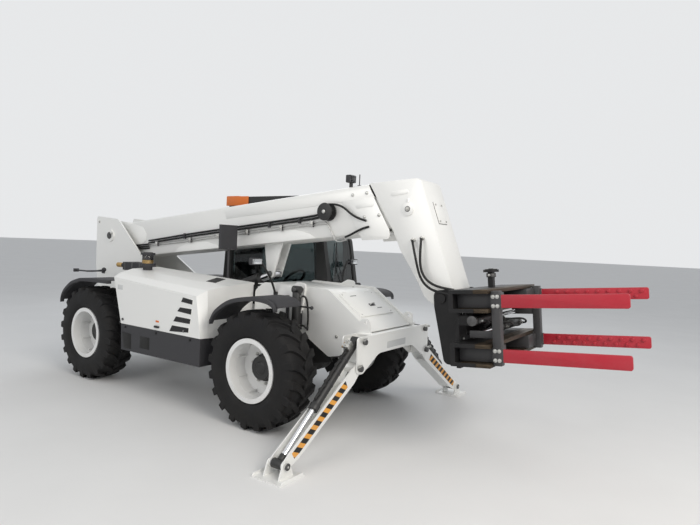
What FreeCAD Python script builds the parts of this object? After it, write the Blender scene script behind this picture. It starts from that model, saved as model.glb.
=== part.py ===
import FreeCAD, Part
import math
import os

# A rotating-clamp telehandler standing on its wheels and its two front stabilisers.
# Millimetres. The sizes are written in the machine's own frame: X forward from the
# rear axle, Y to the left, Z up from the ground. At the end every piece is shifted by
# MIDDLE, so that the origin is in the middle of the machine's length, on the ground.

V = FreeCAD.Vector

# ---- running gear
WHEELBASE = 3100.0
TRACK = 1960.0
TYRE_R = 625.0
TYRE_W = 400.0
SHOULDER_R = 600.0
TYRE_SIDES = 36
RIM_FLANGE_R = 335.0
RIM_BARREL_R = 300.0
RIM_WALL = 14.0
RIM_Y = TYRE_W / 2 - 36
RIM_DISC_T = 20.0
RIM_DISC_IN = 75.0
HUB_R = 125.0
HUB_OUT = 70.0
SPINDLE_R = 45.0
RUN_FIT = 0.05
SIDE_GAP = 0.5
KINGPIN_Y = 740.0
KINGPIN_R = 30.0
FORK_HALF = 140.0
FORK_T = 50.0
FORK_R = 72.0
AXLE_TUBE_R = 85.0
DIFF_R = 165.0

# ---- chassis
RAIL_Y = 330.0
RAIL_T = 25.0
RAIL_BOTTOM = 720.0
RAIL_TOP = 1080.0
BELLY_BOTTOM = 560.0
TOWER_T = 25.0
TOWER_REAR = -1190.0
TOWER_TOP = 2250.0
PIVOT_X = -800.0
PIVOT_Z = 1950.0
PIVOT_R = 50.0
PIVOT_BOSS_R = 95.0
NOSE_Y = 450.0
NOSE_T = 20.0
NOSE_TOP = 1484.0
LUG_T = 25.0
BEAM_X = 4171.0
BEAM_T = 16.0
BEAM_DEPTH = 190.0
BEAM_HALF = 760.0
BEAM_TOP = 1062.0
BEAM_LOW = 695.0

# ---- boom, in its own frame: u forward along it and w up across it, from its pivot
BOOM_ANGLE = 8.2
BOOM_DROP = 3.0
BOOM_RISE = 52.0
BOOM_HALF = 225.0
BOOM_TOP = 70.0
BOOM_BOTTOM = -690.0
BOOM_WALL = 10.0
BOOM_FRONT = 4400.0
BOOM_CHAMFER = 55.0
INNER_GAP = 25.0
INNER_BOTTOM = -560.0
INNER_WALL = 10.0
INNER_REAR = 950.0
HEAD_HALF = 220.0
HEAD_WALL = 16.0
TILT_X = 4800.0
TILT_Z = 1480.0
TILT_R = 45.0

# ---- lift cylinder
LIFT_BASE_X = 400.0
LIFT_BASE_Z = 860.0
LIFT_EYE_X = 2350.0
LIFT_EYE_Z = 1560.0
LIFT_BARREL_R = 85.0
LIFT_ROD_R = 50.0
LIFT_EYE_R = 68.0
LIFT_PIN_R = 35.0
LIFT_EYE_HALF = 56.0
LIFT_BACK = 135.0
LIFT_FLOOR = 45.0
LIFT_GLAND = 40.0
LIFT_END_GAP = 165.0
LIFT_WALL = 14.0
PISTON_T = 60.0

# ---- clamp, in its own frame: a along the arms and b up across them, from its centre
CLAMP_X = 5150.0
CLAMP_Z = 1275.0
CLAMP_ANGLE = 5.5
CARRIAGE_HALF = 262.0
CARRIAGE_T = 28.0
RING_R = 300.0
RAIL_HALF = 700.0
RAIL_OUT = 335.0
RAIL_IN = 135.0
RAIL_FLANGE = 34.0
RAIL_REACH = 170.0
ARM_Y = 625.0
ARM_T = 30.0
ARM_H = 112.0
ARM_MID = 232.0
ARM_TIP = 1375.0
ARM_ROOT = 250.0
CARRIER_W = 90.0

# ---- stabilisers
LEG_PIVOT_Y = 715.0
LEG_PIVOT_Z = 755.0
FOOT_Y = 1750.0
FOOT_Z = 105.0
LEG_HALF = 74.0
LEG_PLATE = 10.0
LEG_H = 150.0
STAB_TOP_Y = 655.0
STAB_TOP_Z = 1010.0
STAB_BARREL_R = 42.0
STAB_ROD_R = 25.0
STAB_EYE_R = 40.0
STAB_PIN_R = 20.0
PAD_LEN = 325.0
PAD_W = 300.0
PAD_T = 12.0

# ---- engine side and cab
HOOD_REAR = 640.0
HOOD_FRONT = 2330.0
HOOD_OUT = 1150.0
HOOD_IN = 450.0
HOOD_WALL = 8.0
HOOD_SEAM = 850.0
HOOD_HINGE_Z = 1450.0
HOOD_HINGE_R = 14.0
PANEL_BOTTOM = 520.0
CAB_IN = 476.0
CAB_OUT = 1150.0
CAB_WALL = 45.0
ARCH_R = 815.0
CAB_FLOOR = 700.0
CAB_ROOF = 2600.0
GLASS_T = 6.0

TIP_X = (
    CLAMP_X
    + ARM_TIP * math.cos(math.radians(CLAMP_ANGLE))
    + (ARM_MID + ARM_H / 2) * math.sin(math.radians(CLAMP_ANGLE))
)
MIDDLE = (TOWER_REAR + TIP_X) / 2.0


def box(x0, x1, y0, y1, z0, z1):
    return Part.makeBox(x1 - x0, y1 - y0, z1 - z0, V(x0, y0, z0))


def rod(p, q, radius):
    axis = V(*q) - V(*p)
    return Part.makeCylinder(radius, axis.Length, V(*p), axis)


def tube(p, q, radius, bore):
    return rod(p, q, radius).cut(rod(p, q, bore))


def fuse(shapes):
    whole = shapes[0]
    if len(shapes) > 1:
        whole = whole.fuse(shapes[1:]).removeSplitter()
    return whole


def wire(points):
    """A closed wire through (a, b) points; a third number rounds that corner."""
    n = len(points)
    stops = []
    for i in range(n):
        p = V(points[i][0], points[i][1], 0)
        r = points[i][2] if len(points[i]) > 2 else 0.0
        if not r:
            stops.append((p, None, p))
            continue
        back = (V(points[i - 1][0], points[i - 1][1], 0) - p).normalize()
        on = (V(points[(i + 1) % n][0], points[(i + 1) % n][1], 0) - p).normalize()
        half = back.getAngle(on) / 2.0
        run = r / math.tan(half)
        mid = (back + on).normalize()
        mid.multiply(r / math.sin(half) - r)
        stops.append((p + back * run, p + mid, p + on * run))
    edges = []
    for i in range(n):
        start, through, end = stops[i]
        if through is not None:
            edges.append(Part.Arc(start, through, end).toShape())
        follow = stops[(i + 1) % n][0]
        if (follow - end).Length > 1e-6:
            edges.append(Part.LineSegment(end, follow).toShape())
    return Part.Wire(edges)


def side_plate(points, y0, y1):
    """A plate whose outline is in X and Z, from y0 to y1."""
    face = Part.Face(wire(points))
    face.rotate(V(0, 0, 0), V(1, 0, 0), 90)
    face.translate(V(0, y0, 0))
    return face.extrude(V(0, y1 - y0, 0))


def front_plate(points, x0, x1):
    """A plate whose outline is in Y and Z, from x0 to x1."""
    face = Part.Face(wire(points))
    face.rotate(V(0, 0, 0), V(1, 0, 0), 90)
    face.rotate(V(0, 0, 0), V(0, 0, 1), 90)
    face.translate(V(x0, 0, 0))
    return face.extrude(V(x1 - x0, 0, 0))


def flat_plate(points, z0, z1):
    face = Part.Face(wire(points))
    face.translate(V(0, 0, z0))
    return face.extrude(V(0, 0, z1 - z0))


def turned(points):
    """A ring turned about the Y axis from (y, radius) points."""
    face = Part.Face(wire([(p[1], p[0]) + tuple(p[2:]) for p in points]))
    return face.revolve(V(0, 0, 0), V(0, 1, 0), 360)


def faceted_ring(points, sides):
    """A ring of flat sides about the Y axis, from the (y, radius) points of its corners."""
    n = len(points)
    rows = []
    for k in range(sides):
        t = 2.0 * math.pi * k / sides
        rows.append([V(r * math.cos(t), y, r * math.sin(t)) for y, r in points])
    faces = []
    for k in range(sides):
        a, b = rows[k], rows[(k + 1) % sides]
        for j in range(n):
            m = (j + 1) % n
            faces.append(Part.Face(Part.makePolygon([a[j], a[m], b[m], b[j], a[j]])))
    ring = Part.makeSolid(Part.makeShell(faces))
    if ring.Volume < 0:
        ring.reverse()
    return ring


def other_side(shape):
    return shape.mirror(V(0, 0, 0), V(0, 1, 0))


def both(shape):
    return [shape, other_side(shape)]


def tilted(shape, x, z, angle):
    """From a frame whose X runs along the piece to the machine's, nose up by angle."""
    placed = shape.copy()
    placed.rotate(V(0, 0, 0), V(0, 1, 0), -angle)
    placed.translate(V(x, 0, z))
    return placed


def on_boom(shape):
    return tilted(shape, PIVOT_X, PIVOT_Z, BOOM_ANGLE)


def on_clamp(shape):
    return tilted(shape, CLAMP_X, CLAMP_Z, CLAMP_ANGLE)


def clamp_frame_point(x, z):
    """A machine point (x, z) in the clamp's own frame."""
    t = math.radians(CLAMP_ANGLE)
    dx, dz = x - CLAMP_X, z - CLAMP_Z
    return dx * math.cos(t) + dz * math.sin(t), dz * math.cos(t) - dx * math.sin(t)


def boom_point(u, w):
    """A boom point (u, w) in the machine's frame."""
    t = math.radians(BOOM_ANGLE)
    return (
        PIVOT_X + u * math.cos(t) - w * math.sin(t),
        PIVOT_Z + u * math.sin(t) + w * math.cos(t),
    )


def boom_frame_point(x, z):
    """A machine point (x, z) in the boom's own frame."""
    t = math.radians(BOOM_ANGLE)
    dx, dz = x - PIVOT_X, z - PIVOT_Z
    return dx * math.cos(t) + dz * math.sin(t), dz * math.cos(t) - dx * math.sin(t)


parts = {}

# ---------------------------------------------------------------- wheels
# (y across, radius): half of the outline is written, the other half is its mirror
bead_r = (RIM_BARREL_R + 4) / math.cos(math.pi / TYRE_SIDES)
lip_r = (RIM_FLANGE_R + 1) / math.cos(math.pi / TYRE_SIDES)
half_tyre = [
    (130.0, TYRE_R),
    (TYRE_W / 2 - 10, SHOULDER_R),
    (TYRE_W / 2, 500.0),
    (TYRE_W / 2 - 6, 410.0),
    (RIM_Y + 10, lip_r + 8),
    (RIM_Y - 0.3, lip_r),
    (RIM_Y - 0.3, bead_r),
]
tyre = faceted_ring(half_tyre + [(-y, r) for y, r in reversed(half_tyre)], TYRE_SIDES)

barrel = turned([
    (-RIM_Y - 16, RIM_FLANGE_R),
    (-RIM_Y, RIM_FLANGE_R),
    (-RIM_Y, RIM_BARREL_R + 3.7),
    (RIM_Y, RIM_BARREL_R + 3.7),
    (RIM_Y, RIM_FLANGE_R),
    (RIM_Y + 16, RIM_FLANGE_R),
    (RIM_Y + 16, RIM_BARREL_R - RIM_WALL),
    (-RIM_Y - 16, RIM_BARREL_R - RIM_WALL),
])
disc = turned([
    (-RIM_DISC_IN - RIM_DISC_T, SPINDLE_R + RUN_FIT),
    (-RIM_DISC_IN - RIM_DISC_T, 200.0),
    (-RIM_DISC_IN - RIM_DISC_T + 12, RIM_BARREL_R - RIM_WALL + 4),
    (-RIM_DISC_IN + 26, RIM_BARREL_R - RIM_WALL + 4),
    (-RIM_DISC_IN, 205.0),
    (-RIM_DISC_IN, HUB_R),
    (-RIM_DISC_IN + HUB_OUT - 12, HUB_R - 3),
    (-RIM_DISC_IN + HUB_OUT, HUB_R - 15),
    (-RIM_DISC_IN + HUB_OUT, SPINDLE_R + RUN_FIT),
])
cap = turned([
    (-RIM_DISC_IN + HUB_OUT - 14, 0.0),
    (-RIM_DISC_IN + HUB_OUT - 14, SPINDLE_R + 12),
    (-RIM_DISC_IN + HUB_OUT + 10, SPINDLE_R + 8),
    (-RIM_DISC_IN + HUB_OUT + 10, 0.0),
])
rim = fuse([barrel, disc, cap])

# the knuckle turns on the kingpins and carries the wheel on its spindle
wheel_face = TRACK / 2 - RIM_DISC_IN - RIM_DISC_T
king = Part.makeCylinder(
    FORK_R - 2, 2 * (FORK_HALF - SIDE_GAP), V(0, KINGPIN_Y, -FORK_HALF + SIDE_GAP)
)
king = king.cut(Part.makeCylinder(
    KINGPIN_R + RUN_FIT, 4 * FORK_HALF, V(0, KINGPIN_Y, -2 * FORK_HALF)
))
king = king.fuse(rod((0, KINGPIN_Y + KINGPIN_R + 5, 0), (0, wheel_face - 22, 0), 90))
king = king.fuse(rod((0, wheel_face - 24, 0), (0, wheel_face - SIDE_GAP, 0), 118))
king = king.fuse(rod(
    (0, wheel_face - SIDE_GAP, 0), (0, TRACK / 2 - RIM_DISC_IN + HUB_OUT - 20, 0), SPINDLE_R
))
steer_arm = box(-210, -40, KINGPIN_Y - 55, KINGPIN_Y - 15, -25, 15)
king = fuse([king, steer_arm])

# fork ends, tubes and the middle housing of an axle
def axle(x):
    half = [
        rod((0, 0, 0), (0, KINGPIN_Y - 150, 0), AXLE_TUBE_R),
        box(-FORK_R, FORK_R, KINGPIN_Y - 190, KINGPIN_Y - 110, -FORK_HALF - FORK_T,
            FORK_HALF + FORK_T),
        box(-90, 90, RAIL_Y - 30, RAIL_Y + RAIL_T + 30, 0, RAIL_BOTTOM - TYRE_R),
    ]
    for low in (FORK_HALF, -FORK_HALF - FORK_T):
        half.append(box(-FORK_R, FORK_R, KINGPIN_Y - 190, KINGPIN_Y, low, low + FORK_T))
        half.append(Part.makeCylinder(FORK_R, FORK_T, V(0, KINGPIN_Y, low)))
    for low in (FORK_HALF - 60, -FORK_HALF - 10):
        half.append(Part.makeCylinder(KINGPIN_R, 70, V(0, KINGPIN_Y, low)))
    half = fuse(half)
    middle = turned([
        (-DIFF_R, 0.0), (-DIFF_R, AXLE_TUBE_R + 5), (-70.0, DIFF_R), (70.0, DIFF_R),
        (DIFF_R, AXLE_TUBE_R + 5), (DIFF_R, 0.0),
    ])
    nose = rod((0, 0, 0), (DIFF_R + 90 if x < 1000 else -DIFF_R - 90, 0, 0), 80)
    whole = fuse([half, other_side(half), middle, nose])
    whole.translate(V(x, 0, TYRE_R))
    return whole


parts["front_axle"] = axle(WHEELBASE)
parts["rear_axle"] = axle(0.0)
for end, x in (("front", WHEELBASE), ("rear", 0.0)):
    for side, sign in (("left", 1), ("right", -1)):
        for name, shape, out in (("tyre", tyre, TRACK / 2), ("rim", rim, TRACK / 2),
                                 ("knuckle", king, 0.0)):
            piece = shape.copy()
            piece.translate(V(0, out, 0))
            if sign < 0:
                piece = other_side(piece)
            piece.translate(V(x, 0, TYRE_R))
            parts["%s_%s_%s" % (name, end, side)] = piece

# ---------------------------------------------------------------- chassis
rail = side_plate([
    (TOWER_REAR + 110, RAIL_BOTTOM + 120),
    (TOWER_REAR + 330, RAIL_BOTTOM),
    (520, RAIL_BOTTOM),
    (760, BELLY_BOTTOM),
    (2280, BELLY_BOTTOM),
    (2560, RAIL_BOTTOM),
    (3500, RAIL_BOTTOM),
    (3700, RAIL_BOTTOM + 40),
    (3700, RAIL_TOP),
    (TOWER_REAR + 110, RAIL_TOP),
], RAIL_Y, RAIL_Y + RAIL_T)
tower_side = side_plate([
    (TOWER_REAR + 110, RAIL_TOP - 200),
    (TOWER_REAR, 1500),
    (TOWER_REAR, TOWER_TOP, 40.0),
    (-620, 2208, 160.0),
    (20, 1655, 300.0),
    (575, 1356, 60.0),
    (700, RAIL_TOP - 200),
], RAIL_Y - TOWER_T, RAIL_Y)
boss = rod((PIVOT_X, RAIL_Y - TOWER_T - 20, PIVOT_Z), (PIVOT_X, RAIL_Y + 22, PIVOT_Z),
           PIVOT_BOSS_R)
tower_side = tower_side.fuse(boss)
tower_side = tower_side.cut(rod(
    (PIVOT_X, 0, PIVOT_Z), (PIVOT_X, 500, PIVOT_Z), PIVOT_R + RUN_FIT
))
lift_lug = side_plate([
    (LIFT_BASE_X - 130, RAIL_BOTTOM), (LIFT_BASE_X + 130, RAIL_BOTTOM),
    (LIFT_BASE_X + 80, LIFT_BASE_Z + 75, 60.0), (LIFT_BASE_X - 80, LIFT_BASE_Z + 75, 60.0),
], LIFT_EYE_HALF + SIDE_GAP, LIFT_EYE_HALF + SIDE_GAP + 30)
lift_lug = lift_lug.fuse(rod(
    (LIFT_BASE_X, 0, LIFT_BASE_Z), (LIFT_BASE_X, LIFT_EYE_HALF + 30, LIFT_BASE_Z), LIFT_PIN_R
))
inside = RAIL_Y - TOWER_T
crossings = [
    box(TOWER_REAR + 112, TOWER_REAR + 130, -RAIL_Y, RAIL_Y, 860, 1500),
    box(TOWER_REAR + 2, TOWER_REAR + 14, -inside, inside, 1500, 2180),
    box(-700, LIFT_BASE_X - 200, -RAIL_Y, RAIL_Y, 1000, 1020),
    box(LIFT_BASE_X - 250, LIFT_BASE_X + 250, -RAIL_Y, RAIL_Y, RAIL_BOTTOM, RAIL_BOTTOM + 20),
    box(2200, 2216, -RAIL_Y, RAIL_Y, BELLY_BOTTOM + 40, RAIL_TOP),
]
parts["chassis_frame"] = fuse(both(rail) + both(tower_side) + both(lift_lug) + crossings)

nose_side = side_plate([
    (2480, RAIL_TOP - 130),
    (2480, 1380, 60.0),
    (2620, NOSE_TOP, 80.0),
    (3573, NOSE_TOP - 14, 120.0),
    (4150, 1062),
    (BEAM_X - BEAM_DEPTH, 830, 40.0),
    (3600, RAIL_BOTTOM + 30, 60.0),
    (3250, 950, 60.0),
], NOSE_Y, NOSE_Y + NOSE_T)
deck = side_plate([
    (2500, NOSE_TOP - 60),
    (3575, NOSE_TOP - 74),
    (BEAM_X - BEAM_DEPTH, 1135),
    (BEAM_X - BEAM_DEPTH, 1122),
    (3572, NOSE_TOP - 88),
    (2500, NOSE_TOP - 74),
], -NOSE_Y, NOSE_Y)
tie = box(2600, 2616, RAIL_Y + RAIL_T, NOSE_Y, RAIL_TOP - 120, NOSE_TOP - 66)
tie_front = box(3660, 3676, RAIL_Y + RAIL_T, NOSE_Y, RAIL_BOTTOM + 60, RAIL_TOP + 60)
EYE_R = 16.0
EYE_X = BEAM_X - 109.0
EYE_Z = BEAM_TOP + 110.0
EYE_HALF = 44.0
tie_eye = side_plate([
    (EYE_X - 100, EYE_Z - 30), (EYE_X - 60, EYE_Z - 111), (EYE_X + 60, EYE_Z - 111),
    (EYE_X + EYE_HALF, EYE_Z + EYE_HALF, 40.0), (EYE_X - EYE_HALF, EYE_Z + EYE_HALF, 40.0),
], NOSE_Y, NOSE_Y + NOSE_T)
eye_bore = rod((EYE_X, -600, EYE_Z), (EYE_X, 600, EYE_Z), EYE_R)
lug = side_plate([
    (3000, NOSE_TOP - 40), (3130, 1180), (3215, 1180), (3270, NOSE_TOP + 30, 40.0),
    (3160, NOSE_TOP + 45, 40.0),
], NOSE_Y + NOSE_T, NOSE_Y + NOSE_T + LUG_T)
parts["front_frame"] = fuse(both(nose_side) + [deck] + both(tie) + both(tie_front) + both(lug)
                            + both(tie_eye))
parts["front_frame"] = parts["front_frame"].cut([
    box(BEAM_X - BEAM_DEPTH, BEAM_X + 50, -900, 900, 0, BEAM_TOP), eye_bore])

slope = (3575.0, NOSE_TOP - 74, BEAM_X - BEAM_DEPTH, 1135.0)
run = math.hypot(slope[2] - slope[0], slope[3] - slope[1])
HATCH_HINGE_AT = 30.0
HATCH_HINGE_UP = 12.0
HATCH_HINGE_R = 10.0
hatch = box(40, run - 70, -330, 330, 0.2, 14)
for y in (-280.0, 200.0):
    hatch = hatch.fuse([
        rod((HATCH_HINGE_AT, y, HATCH_HINGE_UP), (HATCH_HINGE_AT, y + 80, HATCH_HINGE_UP),
            HATCH_HINGE_R),
        box(HATCH_HINGE_AT, 60, y, y + 80, 5, 14),
    ])
hatch = hatch.fuse(tube((run * 0.55 - 40, 60, 40), (run * 0.55 + 40, 60, 40), 8, 0.1))
hatch = hatch.fuse([
    box(run * 0.55 - 40, run * 0.55 - 28, 54, 66, 10, 40),
    box(run * 0.55 + 28, run * 0.55 + 40, 54, 66, 10, 40),
])
hatch.rotate(V(0, 0, 0), V(0, 1, 0), math.degrees(math.atan2(slope[1] - slope[3],
                                                             slope[2] - slope[0])))
hatch.translate(V(slope[0], 0, slope[1]))
parts["front_hatch"] = hatch

# the stabiliser beam: a front and a rear plate with the legs between them
beam_outline = [
    (-BEAM_HALF, BEAM_TOP, 30.0), (-BEAM_HALF, BEAM_LOW, 60.0), (-BEAM_HALF + 110, BEAM_LOW, 60.0),
    (-360, 860, 200.0), (360, 860, 200.0),
    (BEAM_HALF - 110, BEAM_LOW, 60.0), (BEAM_HALF, BEAM_LOW, 60.0), (BEAM_HALF, BEAM_TOP, 30.0),
]
beam_rear = BEAM_X - BEAM_DEPTH
beam = [
    front_plate(beam_outline, BEAM_X - BEAM_T, BEAM_X),
    front_plate(beam_outline, beam_rear, beam_rear + BEAM_T),
    box(beam_rear, BEAM_X, -520, 520, BEAM_TOP - 14, BEAM_TOP),
    box(beam_rear, BEAM_X, -360, 360, 860, 874),
    box(beam_rear, BEAM_X, 500, 514, 900, BEAM_TOP),
    box(beam_rear, BEAM_X, -514, -500, 900, BEAM_TOP),
]
for sign in (1, -1):
    beam.append(rod((beam_rear, sign * LEG_PIVOT_Y, LEG_PIVOT_Z),
                    (BEAM_X, sign * LEG_PIVOT_Y, LEG_PIVOT_Z), STAB_PIN_R + 5))
    beam.append(rod((beam_rear, sign * STAB_TOP_Y, STAB_TOP_Z),
                    (BEAM_X, sign * STAB_TOP_Y, STAB_TOP_Z), STAB_PIN_R))
parts["stabiliser_beam"] = fuse(beam)

HITCH_R = 20.0
HITCH_Z = 720.0
HITCH_X = TOWER_REAR + 48.0
HITCH_T = 22.0
HITCH_GAP = 76.0
HITCH_HALF = 55.0
WEIGHT_REAR = TOWER_REAR + 100.0
WEIGHT_HALF = 560.0
hitch = [
    box(TOWER_REAR, WEIGHT_REAR + 40, -HITCH_HALF, HITCH_HALF, z, z + HITCH_T)
    for z in (HITCH_Z - HITCH_GAP / 2 - HITCH_T, HITCH_Z + HITCH_GAP / 2)
]
weight = side_plate([
    (WEIGHT_REAR, 640, 30.0), (TOWER_REAR + 150, 600, 40.0), (TOWER_REAR + 340, 600),
    (TOWER_REAR + 340, 700), (TOWER_REAR + 110.0, 839), (TOWER_REAR + 111.5, 1060),
    (WEIGHT_REAR, 1060),
], -WEIGHT_HALF, WEIGHT_HALF)
hitch_bore = rod((HITCH_X, 0, HITCH_Z - 100), (HITCH_X, 0, HITCH_Z + 100), HITCH_R)
parts["counterweight"] = fuse(hitch + [weight]).cut([hitch_bore, parts["chassis_frame"]])

parts["engine_block"] = box(900, 1750, -1000, -480, 620, 1180)

# ---------------------------------------------------------------- engine side
hood_x = [  # x, rise of the roof line there
    (HOOD_REAR, 1.0), (1500.0, 0.75), (HOOD_FRONT, 0.0),
]
hood_outer = side_plate([
    (HOOD_REAR + 180, HOOD_SEAM), (HOOD_REAR, 1430, 30.0), (1500, 1425, 900.0),
    (2240, 1325, 60.0), (HOOD_FRONT, HOOD_SEAM),
], -HOOD_OUT, -HOOD_OUT + 60)
hood_sections = [  # how far in from the side, and the outline's points there
    (0.0, [(HOOD_REAR + 180, HOOD_SEAM), (HOOD_REAR, 1425), (HOOD_FRONT - 90, 1318),
           (HOOD_FRONT, HOOD_SEAM)]),
    (90.0, [(HOOD_REAR + 180, HOOD_SEAM), (HOOD_REAR - 20, 1475), (HOOD_FRONT - 10, 1385),
            (HOOD_FRONT + 20, HOOD_SEAM)]),
    (300.0, [(HOOD_REAR + 180, HOOD_SEAM), (HOOD_REAR - 60, 1525), (HOOD_FRONT + 40, 1430),
             (HOOD_FRONT + 60, HOOD_SEAM)]),
    (700.0, [(HOOD_REAR + 180, HOOD_SEAM), (HOOD_REAR - 60, 1545), (HOOD_FRONT + 110, 1465),
             (HOOD_FRONT + 90, HOOD_SEAM)]),
]


def hood_solid(wall):
    wires = []
    for inward, pts in hood_sections:
        y = -HOOD_OUT + inward
        if wall:
            y = min(max(y, -HOOD_OUT + wall), -HOOD_IN - wall)
            cx = sum(p[0] for p in pts) / 4.0
            pts = [
                (pts[0][0] + wall, pts[0][1] - 1), (pts[1][0] + wall, pts[1][1] - wall),
                (pts[2][0] - wall, pts[2][1] - wall), (pts[3][0] - wall, pts[3][1] - 1),
            ]
        line = [V(p[0], y, p[1]) for p in pts]
        wires.append(Part.makePolygon(line + [line[0]]))
    return Part.makeLoft(wires, True, True)


hood = hood_solid(0.0).cut(hood_solid(HOOD_WALL))
hood = hood.cut(box(0, 3000, -HOOD_IN - HOOD_WALL - 1, -HOOD_IN + 1, 0, 1440))
louvre_rows = [  # x front, z middle
    (2225.0, 1265.0), (2205.0, 1160.0), (2185.0, 1055.0), (2165.0, 950.0),
]
for x in (900.0, 1960.0):
    hood = hood.fuse(rod((x, -HOOD_IN, HOOD_HINGE_Z), (x + 110, -HOOD_IN, HOOD_HINGE_Z),
                         HOOD_HINGE_R))
parts["engine_hood"] = hood.removeSplitter()

panel = side_plate([
    (HOOD_REAR + 200, PANEL_BOTTOM), (HOOD_REAR + 182, HOOD_SEAM - 1), (HOOD_FRONT, HOOD_SEAM - 1),
    (HOOD_FRONT, PANEL_BOTTOM + 15),
], -HOOD_OUT, -RAIL_Y - RAIL_T)
panel_in = side_plate([
    (HOOD_REAR + 214, PANEL_BOTTOM + 10), (HOOD_REAR + 196, HOOD_SEAM + 9),
    (HOOD_FRONT - 12, HOOD_SEAM + 9), (HOOD_FRONT - 12, PANEL_BOTTOM + 24),
], -HOOD_OUT + 12, -RAIL_Y - RAIL_T - 12)
parts["side_panel"] = panel.cut(panel_in)

fenders = []
fender_table = [  # wheel x, side, radius, first angle, last angle
    (WHEELBASE, -1, 790.0, 52.0, 142.0),
    (WHEELBASE, 1, 790.0, 52.0, 142.0),
    (0.0, -1, 760.0, 40.0, 160.0),
    (0.0, 1, 760.0, 40.0, 160.0),
]
for x, sign, radius, first, last in fender_table:
    arcs = []
    for r in (radius, radius - 8):
        pts = [V(x + r * math.cos(math.radians(t)), 0, TYRE_R + r * math.sin(math.radians(t)))
               for t in (first, (first + last) / 2, last)]
        arcs.append(Part.Arc(*pts).toShape())
    ends = [Part.LineSegment(arcs[0].Vertexes[-1].Point, arcs[1].Vertexes[-1].Point).toShape(),
            Part.LineSegment(arcs[1].Vertexes[0].Point, arcs[0].Vertexes[0].Point).toShape()]
    ring = Part.Face(Part.Wire(Part.__sortEdges__(arcs + ends)))
    y0, y1 = TRACK / 2 - TYRE_W / 2 - 20, TRACK / 2 + TYRE_W / 2
    ring.translate(V(0, y0, 0))
    shell = ring.extrude(V(0, y1 - y0, 0))
    frame_y = NOSE_Y + NOSE_T + LUG_T if x > 1000 else RAIL_Y + RAIL_T
    arm_z = TYRE_R + radius - 20
    arm = box(x - 30, x + 30, frame_y, y0 + 200, arm_z, arm_z + 14)
    web = box(x - 30, x + 30, frame_y, frame_y + 12, RAIL_TOP - 160, arm_z + 14)
    shell = fuse([shell, arm, web] if x < 1000 else [shell, arm])
    fenders.append(shell if sign > 0 else other_side(shell))
parts["fenders"] = Part.makeCompound(fenders)

# ---------------------------------------------------------------- cab
cab_outline = [
    (980, CAB_FLOOR, 40.0), (860, 1250, 60.0), (960, CAB_ROOF - 60, 60.0),
    (2300, CAB_ROOF - 60, 90.0), (2740, 2030, 120.0), (2890, 1240, 80.0), (2640, CAB_FLOOR, 60.0),
]


def shrunk(points, by):
    """The outline moved inward by a wall."""
    face = Part.Face(wire(points))
    return face.makeOffset2D(-by)


def outline_solid(face, y0, y1):
    f = face.copy()
    f.rotate(V(0, 0, 0), V(1, 0, 0), 90)
    f.translate(V(0, y0, 0))
    return f.extrude(V(0, y1 - y0, 0))


def wheel_arch(radius, y0):
    return rod((WHEELBASE, y0, TYRE_R), (WHEELBASE, CAB_OUT + 100, TYRE_R), radius)


cab_full = outline_solid(Part.Face(wire(cab_outline)), CAB_IN, CAB_OUT)
cab_full = cab_full.cut(wheel_arch(ARCH_R, CAB_IN + CAB_WALL))
cab_room = outline_solid(shrunk(cab_outline, CAB_WALL), CAB_IN + CAB_WALL, CAB_OUT + 10)
cab_room = cab_room.cut(wheel_arch(ARCH_R + CAB_WALL, 0))
cab = cab_full.cut(cab_room)
# windows: front, right side, rear
side_window = side_plate([
    (1040, 1380, 40.0), (1060, 2420, 60.0), (2220, 2420, 60.0), (2620, 1960, 60.0),
    (2660, 1380, 40.0),
], CAB_IN - 10, CAB_IN + CAB_WALL + 10)
front_window = box(2350, 3000, CAB_IN + 70, CAB_OUT - 60, 1450, 2440)
rear_window = box(700, 1060, CAB_IN + 90, CAB_OUT - 90, 1480, 2380)
roof_window = box(1300, 2200, CAB_IN + 110, CAB_OUT - 110, 2400, 2700)
cab = cab.cut([side_window, front_window, rear_window])
cab = cab.common(box(0, 4000, 0, 3000, 0, CAB_ROOF - 90))
parts["cab_frame"] = cab.fuse([
    box(1000, 1060, RAIL_Y + RAIL_T, CAB_IN + 20, 900, 1000),
    box(2300, 2360, RAIL_Y + RAIL_T, CAB_IN + 20, 900, 1000),
]).removeSplitter()

roof = outline_solid(Part.Face(wire([
    (930, CAB_ROOF - 90), (930, CAB_ROOF, 40.0), (2330, CAB_ROOF, 40.0), (2372, CAB_ROOF - 90),
])), CAB_IN - 15, CAB_OUT + 10)
roof = roof.cut(outline_solid(Part.Face(wire([
    (975, CAB_ROOF - 100), (975, CAB_ROOF - 30), (2280, CAB_ROOF - 30), (2320, CAB_ROOF - 100),
])), CAB_IN + CAB_WALL, CAB_OUT - CAB_WALL))
parts["cab_roof"] = roof

shell = outline_solid(Part.Face(wire(cab_outline)), CAB_IN + 8, CAB_OUT - 8)
pane_ring = outline_solid(shrunk(cab_outline, 12), 0, 3000).cut(
    outline_solid(shrunk(cab_outline, 12 + GLASS_T), 0, 3000))
front_glass = pane_ring.common(box(2350, 3000, CAB_IN + 70, CAB_OUT - 60, 1450, 2440))
rear_glass = pane_ring.common(box(700, 1060, CAB_IN + 90, CAB_OUT - 90, 1480, 2380))
side_glass = side_plate([
    (1040, 1380, 40.0), (1060, 2420, 60.0), (2220, 2420, 60.0), (2620, 1960, 60.0),
    (2660, 1380, 40.0),
], CAB_IN + 12, CAB_IN + 12 + GLASS_T)
parts["cab_glass"] = Part.makeCompound([front_glass, rear_glass, side_glass])

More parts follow.
